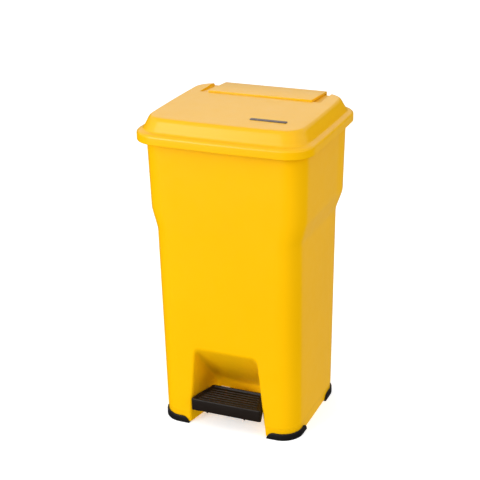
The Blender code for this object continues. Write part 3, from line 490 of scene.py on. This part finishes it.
def make_tub():
    tub = outer_tub()
    floor = FLOOR_UNDERSIDE + WALL
    levels = [(floor, 0.012), (floor + 0.0010, 0.0075), (floor + 0.0035, 0.0035), (floor + 0.0075, 0.001),
              (floor + 0.012, 0.0)]
    levels += [(mix(floor + 0.02, 0.49, i / 5), 0.0) for i in range(6)]
    levels += [(mix(0.4975, 0.5675, i / 14), 0.0) for i in range(15)]
    levels += [(mix(0.58, 0.74, i / 4), 0.0) for i in range(5)]
    levels += [(RIM_TOP - 0.0012, 0.0), (RIM_TOP - 0.0004, -0.0005), (RIM_TOP + 0.0004, -0.0011)]
    bag_space = tub_inside(levels, WALL, "bag_space")
    cut(bag_space, well_wall_solid(),
        block("channel_wall", (-CHANNEL_HALF_X - WALL, CHANNEL_FRONT_Y - WALL, 0.08),
              (CHANNEL_HALF_X + WALL, 0.20, 0.78)))
    base_levels = [(TUB_BOTTOM - 0.01, 0.0), (FLOOR_UNDERSIDE - 0.006, 0.0),
                   (FLOOR_UNDERSIDE - 0.002, 0.002), (FLOOR_UNDERSIDE, 0.006)]
    base = tub_inside(base_levels, WALL + BAND_INSET, "base_space")
    cut(base, well_wall_solid())
    cut(tub, bag_space, base,
        block("gate", (-GATE_HALF_X, WELL_BACK_Y - 0.008, -0.01),
              (GATE_HALF_X, WELL_BACK_Y + 0.008, GATE_TOP)),
        block("channel", (-CHANNEL_HALF_X, CHANNEL_FRONT_Y, CHANNEL_BOTTOM),
              (CHANNEL_HALF_X, BEYOND_Y, 0.79)))
    bm = bmesh.new()
    for x, z in wall_screw_places():
        middle = Matrix.Translation((x, tub_half_y(z), z)) @ Matrix.Rotation(math.pi / 2, 4, "X")
        bmesh.ops.create_cone(bm, cap_ends=True, segments=16, radius1=SCREW_HOLE, radius2=SCREW_HOLE,
                              depth=0.016, matrix=middle)
    cut(tub, from_bmesh("screw_holes", bm))
    resharpen(tub, 38.0)
    return tub


# ------------------------------------------------------------------ lid
def lid_profile():
    """The lid's outer surface from its lower edge to its top: inset, height, corner radius."""
    points = [(0.0006, SEAT_LEVEL, LID_RADIUS), (0.0000, 0.7288, LID_RADIUS),
              (0.0000, 0.7462, LID_RADIUS), (0.0030, 0.7500, LID_RADIUS - 0.002),
              (0.0137, 0.7530, LID_RADIUS - 0.009), (0.0250, 0.7790, DOME_RADIUS - 0.004),
              (0.0300, 0.7838, DOME_RADIUS - 0.009), (0.0380, DOME_TOP, DOME_RADIUS - 0.015)]
    reach = (0.0004, 0.0030, 0.0022, 0.0028, 0.0040, 0.0030)
    return soften(points, reach, 6)


def lid_ring(inset, z, radius):
    outline = rounded_outline(LID_HALF_X - inset, LID_HALF_Y - inset, radius, LID_BOW_X, LID_BOW_Y,
                              corner=18, side=30)
    return [(x, y, z) for x, y in outline]


def crown(drop, inset):
    last = lid_profile()[-1]
    base = lid_ring(last[0] + inset, DOME_TOP, last[2] - inset / 2)
    rings = []
    for scale in (0.97, 0.92, 0.84, 0.74, 0.62, 0.49, 0.35, 0.2, 0.07):
        ring = []
        for x, y, _ in base:
            fall = ((y * scale - CROWN_PEAK_Y) / LID_HALF_Y) ** 2
            ring.append((x * scale, y * scale, DOME_TOP + CROWN_RISE * (1 - scale ** 2) * (1 - fall) - drop))
        rings.append(ring)
    return rings


def badge_outline(grow, steps=6):
    half_x = BADGE_HALF_X + grow
    half_y = BADGE_HALF_Y + grow
    radius = max(BADGE_RADIUS + grow, 0.0004)
    points = []
    for sx, sy, start in ((1, -1, -90), (1, 1, 0), (-1, 1, 90), (-1, -1, 180)):
        centre = (BADGE_X + sx * (half_x - radius), BADGE_Y + sy * (half_y - radius))
        points += arc(*centre, radius, steps, start, 90)
    return points


def make_lid():
    lid = loft("lid_moulding", [lid_ring(*level) for level in lid_profile()] + crown(0.0, 0.0))
    inside = []
    for index, (inset, z, radius) in enumerate(lid_profile()):
        height = SEAT_LEVEL - 0.004 if index == 0 else z - LID_SKIN
        if index and height <= SEAT_LEVEL - 0.004:
            continue
        inside.append(lid_ring(inset + LID_SKIN, height, radius - LID_SKIN / 2))
    hollow = loft("lid_hollow", inside + crown(LID_SKIN, LID_SKIN))
    front = COVER_FRONT_Y - GAP - WALL
    slope = [(front, POCKET_FLOOR_FRONT - WALL), (POCKET_BACK_Y, POCKET_FLOOR_BACK - WALL),
             (BEYOND_Y, POCKET_FLOOR_BACK - WALL), (BEYOND_Y, 0.81), (front, 0.81)]
    cut(hollow, prism("pocket_wall", slope, -POCKET_HALF_X - WALL, POCKET_HALF_X + WALL))
    for x in (-HINGE_X, 0.0, HINGE_X):
        cut(hollow, block("boss", (x - BOSS_HALF_X, BOSS_FRONT_Y, BOSS_BOTTOM),
                          (x + BOSS_HALF_X, BOSS_BACK_Y, ABOVE_LID)))
    rings = []
    for y, floor in ((COVER_FRONT_Y - GAP, POCKET_FLOOR_FRONT), (POCKET_BACK_Y, POCKET_FLOOR_BACK),
                     (0.22, POCKET_FLOOR_BACK)):
        flare = [(POCKET_HALF_X - 0.0008, floor), (POCKET_HALF_X - 0.0002, floor + 0.0003),
                 (POCKET_HALF_X, floor + 0.001), (POCKET_HALF_X, 0.7832), (POCKET_HALF_X + 0.0004, 0.7842),
                 (POCKET_HALF_X + 0.0014, 0.7850), (POCKET_HALF_X + 0.0034, 0.7856),
                 (POCKET_HALF_X + 0.0034, 0.82)]
        rings.append([(-x, y, z) for x, z in flare] + [(x, y, z) for x, z in reversed(flare)])
    pocket = loft("pocket", rings)
    seat = prism("badge_seat", badge_outline(GAP), BADGE_FLOOR, ABOVE_LID, "Z")
    cut(lid, hollow, pocket, seat)
    bm = bmesh.new()
    y = (BOSS_FRONT_Y + BOSS_BACK_Y) / 2
    for x in (-HINGE_X, -LIFT_SCREW_X, LIFT_SCREW_X, HINGE_X):
        middle = Matrix.Translation((x, y, BOSS_BOTTOM + 0.005))
        bmesh.ops.create_cone(bm, cap_ends=True, segments=16, radius1=SCREW_HOLE, radius2=SCREW_HOLE,
                              depth=0.014, matrix=middle)
    cut(lid, from_bmesh("lid_screw_holes", bm))
    resharpen(lid, 34.0)
    return lid


def make_cover():
    seat_front = POCKET_FLOOR_FRONT + GAP
    seat_back = POCKET_FLOOR_BACK + GAP
    outline = [(COVER_FRONT_Y, seat_front), (COVER_FRONT_Y, COVER_TOP),
               (COVER_BACK_Y - 0.003, COVER_BACK_TOP), (COVER_BACK_Y, COVER_BACK_TOP - 0.003),
               (COVER_BACK_Y, APRON_BOTTOM),
               (APRON_FRONT_Y, APRON_BOTTOM), (APRON_FRONT_Y, seat_back), (POCKET_BACK_Y, seat_back)]
    cover = prism("cover_moulding", outline, -COVER_HALF_X, COVER_HALF_X, "X")
    front = COVER_FRONT_Y + COVER_SKIN
    back = COVER_BACK_Y - COVER_SKIN
    fold = APRON_FRONT_Y - COVER_SKIN
    below = 0.002
    inside = [(front, seat_front - below), (POCKET_BACK_Y, seat_back - below), (fold, seat_back - below),
              (fold, APRON_BOTTOM - below), (back, APRON_BOTTOM - below), (back, COVER_BACK_TOP - COVER_SKIN),
              (front, COVER_TOP - COVER_SKIN)]
    half = COVER_HALF_X - COVER_SKIN
    bevel(cover, 0.0011, 4)
    cut(cover, prism("cover_hollow", inside, -half, half, "X"))
    resharpen(cover, 34.0)
    return cover


def make_badge():
    rings = [[(x, y, z) for x, y in badge_outline(grow)] for grow, z in
             ((0.0, BADGE_FLOOR + GAP), (0.0, BADGE_TOP - 0.0009), (-0.0002, BADGE_TOP - 0.0004),
              (-0.0007, BADGE_TOP - 0.0001), (-0.0013, BADGE_TOP), (-0.0016, BADGE_TOP - 0.0001),
              (-0.0018, BADGE_TOP - 0.0004))]
    return loft("badge_bar", rings, 50.0)


# ------------------------------------------------------------------ pedal and feet
def pedal_outline(inset):
    radius = max(PEDAL_CORNER - inset, 0.002)
    front = PEDAL_FRONT_Y + inset
    back = PEDAL_BACK_Y - inset
    half_front = PEDAL_HALF_FRONT - inset
    half_back = PEDAL_HALF_BACK - inset
    right = arc(half_front - radius, front + radius, radius, 8, -90.0, 82.0)
    right += arc(half_back - radius, back - radius, radius, 8, -8.0, 98.0)
    return right + [(-x, y) for x, y in reversed(right)]


def make_pedal():
    tread = PEDAL_TOP - TREAD_DEPTH
    profile = [(0.0034, tread - 0.0030), (0.0030, tread - 0.0036), (0.0028, PEDAL_BOTTOM + 0.0004),
               (0.0024, PEDAL_BOTTOM), (0.0008, PEDAL_BOTTOM), (0.0002, PEDAL_BOTTOM + 0.0003),
               (0.0, PEDAL_BOTTOM + 0.0010), (0.0, PEDAL_TOP - 0.0030), (0.0002, PEDAL_TOP - 0.0018),
               (0.0008, PEDAL_TOP - 0.0008), (0.0017, PEDAL_TOP - 0.0002), (0.0028, PEDAL_TOP),
               (PEDAL_RIM - 0.0010, PEDAL_TOP), (PEDAL_RIM - 0.0004, PEDAL_TOP - 0.0002),
               (PEDAL_RIM, PEDAL_TOP - 0.0008), (PEDAL_RIM + 0.0001, tread + 0.0008),
               (PEDAL_RIM + 0.0005, tread + 0.0002), (PEDAL_RIM + 0.0012, tread)]
    rings = [[(x, y, z) for x, y in pedal_outline(inset)] for inset, z in profile]
    pedal = loft("pedal_moulding", rings)
    pitch = (PEDAL_BACK_Y - PEDAL_FRONT_Y - 2 * PEDAL_RIM) / (TREAD_RIBS + 1)
    for index in range(TREAD_RIBS):
        y = PEDAL_FRONT_Y + PEDAL_RIM + pitch * (index + 1)
        t = (y - PEDAL_FRONT_Y) / (PEDAL_BACK_Y - PEDAL_FRONT_Y)
        half = mix(PEDAL_HALF_FRONT, PEDAL_HALF_BACK, t) - PEDAL_RIM - 0.006
        rib = block("rib", (-half, y - RIB_HALF, tread - 0.001), (half, y + RIB_HALF, tread + RIB_HEIGHT))
        bevel(rib, 0.0011, 4)
        combine(pedal, rib, "UNION")
    combine(pedal, block("lever_gate", (-LEVER_GATE_HALF_X, PEDAL_BACK_Y - 0.012, 0.03),
                         (LEVER_GATE_HALF_X, PEDAL_BACK_Y + 0.01, tread - 0.0030)))
    for side in (-1, 1):
        stop = block("stop", (side * STOP_X - STOP_HALF, PEDAL_FRONT_Y + 0.0005, STOP_BOTTOM),
                     (side * STOP_X + STOP_HALF, PEDAL_FRONT_Y + 0.0026, PEDAL_BOTTOM + 0.002))
        bevel(stop, 0.0005, 3)
        combine(pedal, stop, "UNION")
    resharpen(pedal, 36.0)
    return pedal


def foot_path(end_y):
    """The front right foot's outer edge in plan, from its front end round to its side end."""
    flat_x = FOOT_HALF_X - TUB_BOW
    flat_y = FOOT_HALF_Y - TUB_BOW
    outline = rounded_outline(FOOT_HALF_X, FOOT_HALF_Y, FOOT_RADIUS, TUB_BOW, TUB_BOW, corner=24, side=60)
    first = (FOOT_END_X, flat_y + TUB_BOW * (1 - (FOOT_END_X / flat_x) ** 2))
    last = (flat_x + TUB_BOW * (1 - (end_y / flat_y) ** 2), end_y)
    between = [(x, y) for x, y in outline if x > FOOT_END_X + 0.001 and y > end_y + 0.001]
    between.sort(key=lambda point: math.atan2(point[0], point[1]))
    return [first] + between + [last]


def foot_stations(length):
    """Distances along a foot, close together where its ends curve down."""
    ends = [FOOT_CURVE * (1 - math.cos(math.radians(90 * i / 14))) for i in range(15)]
    middle = [mix(FOOT_CURVE, length - FOOT_CURVE, i / 30) for i in range(1, 30)]
    return ends + middle + [length - d for d in reversed(ends)]


def make_foot(side, back):
    path = foot_path(FOOT_END_Y[back])
    length = sum(math.dist(a, b) for a, b in zip(path, path[1:]))
    fine = along(path, 1201)
    sections = []
    for distance in foot_stations(length):
        index = round(1200 * distance / length)
        x, y = fine[index]
        before = fine[max(index - 2, 0)]
        after = fine[min(index + 2, 1200)]
        tangent = Vector((after[0] - before[0], after[1] - before[1])).normalized()
        inward = Vector((tangent.y, -tangent.x))
        if inward.dot(Vector((x, y))) > 0:
            inward = -inward
        reach = min(distance, length - distance, FOOT_CURVE) / FOOT_CURVE
        height = max(FOOT_HEIGHT * math.sqrt(1 - (1 - reach) ** 2), FOOT_TOE)
        pad = min(TUB_BOTTOM - GAP, height)
        roll = min(0.0024, 0.45 * height)
        wrap = 0.0041
        shape = [(0.0004, 0.0004), (0.0012, 0.0), (FOOT_PAD - 0.0006, 0.0), (FOOT_PAD, 0.0006),
                 (FOOT_PAD, pad - 0.0004), (FOOT_PAD - 0.0006, pad), (wrap + 0.0004, pad),
                 (wrap, max(height - 0.0008, pad)), (wrap - 0.0005, height), (roll, height),
                 (0.42 * roll, height - 0.14 * roll), (0.13 * roll, height - 0.45 * roll),
                 (0.0, height - roll), (0.0, 0.0010)]
        sections.append([(side * (x + inward.x * u), back * (y + inward.y * u), z) for u, z in shape])
    name = f"foot_{'rear' if back > 0 else 'front'}_{'right' if side > 0 else 'left'}"
    return loft(name + "_moulding", sections, 50.0)


# ------------------------------------------------------------------ materials
def new_material(name, colour, roughness, metallic=0.0, ior=1.46):
    material = bpy.data.materials.new(name)
    material.use_nodes = True
    shader = material.node_tree.nodes["Principled BSDF"]
    shader.inputs["Base Color"].default_value = (*colour, 1.0)
    shader.inputs["Roughness"].default_value = roughness
    shader.inputs["Metallic"].default_value = metallic
    shader.inputs["IOR"].default_value = ior
    return material, shader


def add_node(material, kind, **inputs):
    node = material.node_tree.nodes.new(kind)
    for key, value in inputs.items():
        node.inputs[key.replace("_", " ")].default_value = value
    return node


def noise(material, scale, detail=3.0, roughness=0.55):
    node = add_node(material, "ShaderNodeTexNoise", Scale=scale, Detail=detail, Roughness=roughness)
    coordinates = material.node_tree.nodes.get("object_space")
    if coordinates is None:
        coordinates = material.node_tree.nodes.new("ShaderNodeTexCoord")
        coordinates.name = "object_space"
    material.node_tree.links.new(coordinates.outputs["Object"], node.inputs["Vector"])
    return node.outputs["Fac"]


def ramp(material, source, low, high):
    node = material.node_tree.nodes.new("ShaderNodeMapRange")
    node.inputs["From Min"].default_value = low[0]
    node.inputs["From Max"].default_value = high[0]
    node.inputs["To Min"].default_value = low[1]
    node.inputs["To Max"].default_value = high[1]
    material.node_tree.links.new(source, node.inputs["Value"])
    return node.outputs["Result"]


def blend_colour(material, factor, first, second):
    node = material.node_tree.nodes.new("ShaderNodeMix")
    node.data_type = "RGBA"
    material.node_tree.links.new(factor, node.inputs[0])
    for socket, value in ((node.inputs[6], first), (node.inputs[7], second)):
        if isinstance(value, tuple):
            socket.default_value = (*value, 1.0)
        else:
            material.node_tree.links.new(value, socket)
    return node.outputs[2]


def edge_mask(material, radius, low, high):
    """Near 1 on convex edges, from how the rounded normal leaves the true one."""
    tree = material.node_tree
    rounded = tree.nodes.new("ShaderNodeBevel")
    rounded.samples = 6
    rounded.inputs["Radius"].default_value = radius
    true = tree.nodes.new("ShaderNodeNewGeometry")
    dot = tree.nodes.new("ShaderNodeVectorMath")
    dot.operation = "DOT_PRODUCT"
    tree.links.new(rounded.outputs["Normal"], dot.inputs[0])
    tree.links.new(true.outputs["Normal"], dot.inputs[1])
    return ramp(material, dot.outputs["Value"], (low, 1.0), (high, 0.0))


def bump(material, shader, height, strength, distance, normal=None):
    node = add_node(material, "ShaderNodeBump", Strength=strength, Distance=distance)
    material.node_tree.links.new(height, node.inputs["Height"])
    if normal is not None:
        material.node_tree.links.new(normal, node.inputs["Normal"])
    material.node_tree.links.new(node.outputs["Normal"], shader.inputs["Normal"])
    return node.outputs["Normal"]


def moulded_plastic(name, colour, shade, roughness, ior, grain=0.10, peel=0.10):
    """Satin injection-moulded plastic: slight colour drift, uneven gloss, fine grain, orange peel."""
    material, shader = new_material(name, colour, roughness, ior=ior)
    links = material.node_tree.links
    drift = ramp(material, noise(material, 5.0, 4.0), (0.35, 0.0), (0.65, 1.0))
    links.new(blend_colour(material, drift, colour, shade), shader.inputs["Base Color"])
    uneven = noise(material, 38.0, 5.0, 0.65)
    gloss = ramp(material, uneven, (0.3, roughness - 0.035), (0.7, roughness + 0.035))
    links.new(gloss, shader.inputs["Roughness"])
    first = bump(material, shader, noise(material, 26.0, 2.0), peel, 0.0006)
    bump(material, shader, noise(material, 1500.0, 2.0), grain, 0.00015, first)
    return material


def metal(name, colour, roughness, scale):
    """Plated steel with a fine spangle."""
    material, shader = new_material(name, colour, roughness, 1.0)
    links = material.node_tree.links
    darker = tuple(c * 0.78 for c in colour)
    spangle = ramp(material, noise(material, scale, 4.0, 0.7), (0.35, 0.0), (0.65, 1.0))
    links.new(blend_colour(material, spangle, darker, colour), shader.inputs["Base Color"])
    uneven = noise(material, scale * 2.2, 4.0)
    gloss = ramp(material, uneven, (0.3, roughness - 0.08), (0.7, roughness + 0.1))
    links.new(gloss, shader.inputs["Roughness"])
    bump(material, shader, noise(material, scale * 7, 3.0), 0.12, 0.0002)
    return material


def black_with_painted_edge_highlight(name, colour, edge_highlight_colour, roughness, ior):
    """Dark plastic or rubber, painted paler along its convex edges as a painted highlight, in patches."""
    material, shader = new_material(name, colour, roughness, ior=ior)
    links = material.node_tree.links
    # painted highlight: a pale colour laid on convex edges where a lit edge catches the light, broken up by
    # patchy noise
    edge = edge_mask(material, 0.0012, 0.86, 0.995)
    patchy = ramp(material, noise(material, 70.0, 5.0, 0.7), (0.40, 0.2), (0.62, 1.0))
    painted_highlight = material.node_tree.nodes.new("ShaderNodeMath")
    painted_highlight.operation = "MULTIPLY"
    links.new(edge, painted_highlight.inputs[0])
    links.new(patchy, painted_highlight.inputs[1])
    links.new(blend_colour(material, painted_highlight.outputs[0], colour, edge_highlight_colour), shader.inputs["Base Color"])
    uneven = noise(material, 55.0, 5.0, 0.7)
    gloss = ramp(material, uneven, (0.3, roughness - 0.06), (0.7, roughness + 0.08))
    links.new(gloss, shader.inputs["Roughness"])
    bump(material, shader, noise(material, 1100.0, 3.0), 0.22, 0.0002)
    return material


# ------------------------------------------------------------------ camera, light and floor
# brightness of the studio by height, from straight down (0) to straight up (1)
SKY = ((0.0, 0.0), (0.60, 0.0), (0.64, 0.35), (0.675, 1.12), (0.73, 1.08), (0.80, 0.70), (1.0, 0.72))
# soft patches: direction, outer and inner angle in degrees, brightness
SKY_PATCHES = (((0.20, 0.92, -0.34), 24, 6, 0.26), ((-0.36, 0.88, 0.25), 20, 8, 0.80),
               ((-0.36, -0.82, 0.44), 26, 8, 0.62))


CAMERA_ANGLES = (22.2241, 22.5536, -0.761)      # round from the front, above level, roll
CAMERA_TARGET = (0, 0, 0.416)
CAMERA_DISTANCE = 3.0132
SENSOR_WIDTH = 36.0
PICTURE_WIDTH = 480
FOCAL_LENGTH = 1235.1           # in units of the picture, as are the two centres
PICTURE_CENTRE = (248.914, 251.575)
FLOOR_SIZE = 30.0
FLOOR_GLOW = 0.45


def aim(obj, place, target):
    obj.location = place
    obj.rotation_euler = (Vector(target) - Vector(place)).to_track_quat("-Z", "Y").to_euler()


def make_camera():
    azimuth, elevation, roll = (math.radians(a) for a in CAMERA_ANGLES)
    back = Vector((math.sin(azimuth) * math.cos(elevation), -math.cos(azimuth) * math.cos(elevation),
                   math.sin(elevation)))
    level = Vector((math.cos(azimuth), math.sin(azimuth), 0.0))
    upright = back.cross(level)
    right = math.cos(roll) * level + math.sin(roll) * upright
    up = -math.sin(roll) * level + math.cos(roll) * upright
    data = bpy.data.cameras.new("camera")
    middle = PICTURE_WIDTH / 2
    data.sensor_width = SENSOR_WIDTH
    data.lens = FOCAL_LENGTH * SENSOR_WIDTH / PICTURE_WIDTH
    data.shift_x = (middle - PICTURE_CENTRE[0]) / PICTURE_WIDTH
    data.shift_y = (PICTURE_CENTRE[1] - middle) / PICTURE_WIDTH
    camera = bpy.data.objects.new("camera", data)
    camera.matrix_world = Matrix.Translation(Vector(CAMERA_TARGET) + back * CAMERA_DISTANCE) @ \
        Matrix((right, up, back)).transposed().to_4x4()
    bpy.context.scene.collection.objects.link(camera)
    bpy.context.scene.camera = camera


def make_light(name, place, target, size, power):
    data = bpy.data.lights.new(name, "AREA")
    data.shape = "RECTANGLE"
    data.size, data.size_y = size
    data.energy = power
    light = bpy.data.objects.new(name, data)
    bpy.context.scene.collection.objects.link(light)
    aim(light, place, target)
    return light


def world_lobe(tree, source, direction, outer, inner, strength):
    """A soft patch of sky: its strength where the view direction is near the given one."""
    dot = tree.nodes.new("ShaderNodeVectorMath")
    dot.operation = "DOT_PRODUCT"
    dot.inputs[1].default_value = Vector(direction).normalized()
    tree.links.new(source, dot.inputs[0])
    soft = tree.nodes.new("ShaderNodeMapRange")
    soft.interpolation_type = "SMOOTHERSTEP"
    soft.inputs["From Min"].default_value = math.cos(math.radians(outer))
    soft.inputs["From Max"].default_value = math.cos(math.radians(inner))
    soft.inputs["To Max"].default_value = strength
    tree.links.new(dot.outputs["Value"], soft.inputs["Value"])
    return soft.outputs["Result"]


def make_world():
    world = bpy.data.worlds.new("studio")
    bpy.context.scene.world = world
    world.use_nodes = True
    tree = world.node_tree
    background = tree.nodes["Background"]
    coordinates = tree.nodes.new("ShaderNodeTexCoord")
    view = coordinates.outputs["Generated"]
    split = tree.nodes.new("ShaderNodeSeparateXYZ")
    tree.links.new(view, split.inputs[0])
    heights = tree.nodes.new("ShaderNodeValToRGB")
    shift = tree.nodes.new("ShaderNodeMath")
    shift.operation = "MULTIPLY_ADD"
    shift.inputs[1].default_value = 0.5
    shift.inputs[2].default_value = 0.5
    tree.links.new(split.outputs["Z"], shift.inputs[0])
    tree.links.new(shift.outputs[0], heights.inputs["Fac"])
    elements = heights.color_ramp.elements
    while len(elements) < len(SKY):
        elements.new(0.5)
    for element, (position, value) in zip(elements, SKY):
        element.position = position
        element.color = (value, value, value, 1.0)
    total = heights.outputs["Color"]
    for direction, outer, inner, strength in SKY_PATCHES:
        add = tree.nodes.new("ShaderNodeMath")
        add.operation = "ADD"
        tree.links.new(total, add.inputs[0])
        tree.links.new(world_lobe(tree, view, direction, outer, inner, strength), add.inputs[1])
        total = add.outputs[0]
    tree.links.new(total, background.inputs["Color"])
    background.inputs["Strength"].default_value = 1.0


def make_floor():
    """A pale floor that glows by itself and is seen by the camera only, so it adds no sheen."""
    mesh = bpy.data.meshes.new("studio_floor")
    bm = bmesh.new()
    bmesh.ops.create_grid(bm, x_segments=8, y_segments=8, size=FLOOR_SIZE)
    bm.to_mesh(mesh)
    bm.free()
    floor = bpy.data.objects.new("studio_floor", mesh)
    bpy.context.scene.collection.objects.link(floor)
    material, shader = new_material("studio_floor", (0.90, 0.90, 0.90), 0.9)
    shader.inputs["Specular IOR Level"].default_value = 0.0
    shader.inputs["Emission Color"].default_value = (1, 1, 1, 1)
    shader.inputs["Emission Strength"].default_value = FLOOR_GLOW
    mesh.materials.append(material)
    floor.visible_glossy = False
    floor.visible_diffuse = False
    floor.visible_shadow = False


# ------------------------------------------------------------------ the pieces
make_camera()
make_world()
make_floor()
make_light("key", (-1.50, -2.55, 1.25), (0, 0, 0.42), (1.5, 1.5), 56.0)
fill = make_light("fill", (2.6, -0.6, 1.3), (0, 0, 0.4), (1.6, 1.6), 26.0)
fill.visible_glossy = False
# stands in for the light that the floor would send up
bounce = make_light("bounce", (0, 0, -0.6), (0, 0, 0.4), (7.0, 7.0), 150.0)
bounce.visible_glossy = False
bounce.data.cycles.use_multiple_importance_sampling = False
bpy.context.scene.view_settings.view_transform = "Standard"
bpy.context.scene.view_settings.look = "None"

yellow = moulded_plastic("yellow_plastic", (0.93, 0.490, 0.0012), (0.95, 0.505, 0.0020), 0.34, 1.42)
# the second colour given to each dark material is the painted highlight along its convex edges
black = black_with_painted_edge_highlight("black_plastic", (0.012, 0.0080, 0.0060), (0.100, 0.090, 0.082), 0.46, 1.36)
rubber = black_with_painted_edge_highlight("black_rubber", (0.009, 0.008, 0.008), (0.04, 0.04, 0.04), 0.55, 1.34)
steel = metal("zinc_plated_steel", (0.66, 0.66, 0.64), 0.34, 240.0)
nylon = moulded_plastic("white_nylon", (0.78, 0.77, 0.71), (0.72, 0.71, 0.66), 0.42, 1.50)
dark = black_with_painted_edge_highlight("dark_badge", (0.060, 0.036, 0.030), (0.32, 0.22, 0.18), 0.30, 1.50)
SURFACES = {"yellow_plastic": yellow, "black_plastic": black, "black_rubber": rubber,
            "zinc_plated_steel": steel, "white_nylon": nylon, "dark_badge": dark}


def place(piece, node, body, slot):
    piece.data.materials.clear()
    piece.data.materials.append(SURFACES[slot])
    for polygon in piece.data.polygons:
        polygon.material_index = 0
    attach(piece, body)
    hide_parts(node)


place(make_tub(), "body_shell", "tub", "yellow_plastic")
place(make_lid(), "lid_shell", "lid", "yellow_plastic")
place(make_cover(), "hinge_cover", "lid", "yellow_plastic")
place(make_badge(), "badge_plate", "lid", "dark_badge")
place(make_pedal(), "pedal_plate", "pedal", "black_plastic")
for depth in (-1, 1):
    for side in (-1, 1):
        foot = make_foot(side, depth)
        place(foot, foot.name.replace("_moulding", ""), "tub", "black_rubber")

SLOT_OF = {part["node"]: part["material_slot"] for part in frame["record"]["subparts"]}
for name, node in frame["nodes"].items():
    if not node.hide_render:
        node.data.materials.clear()
        node.data.materials.append(SURFACES[SLOT_OF[name]])
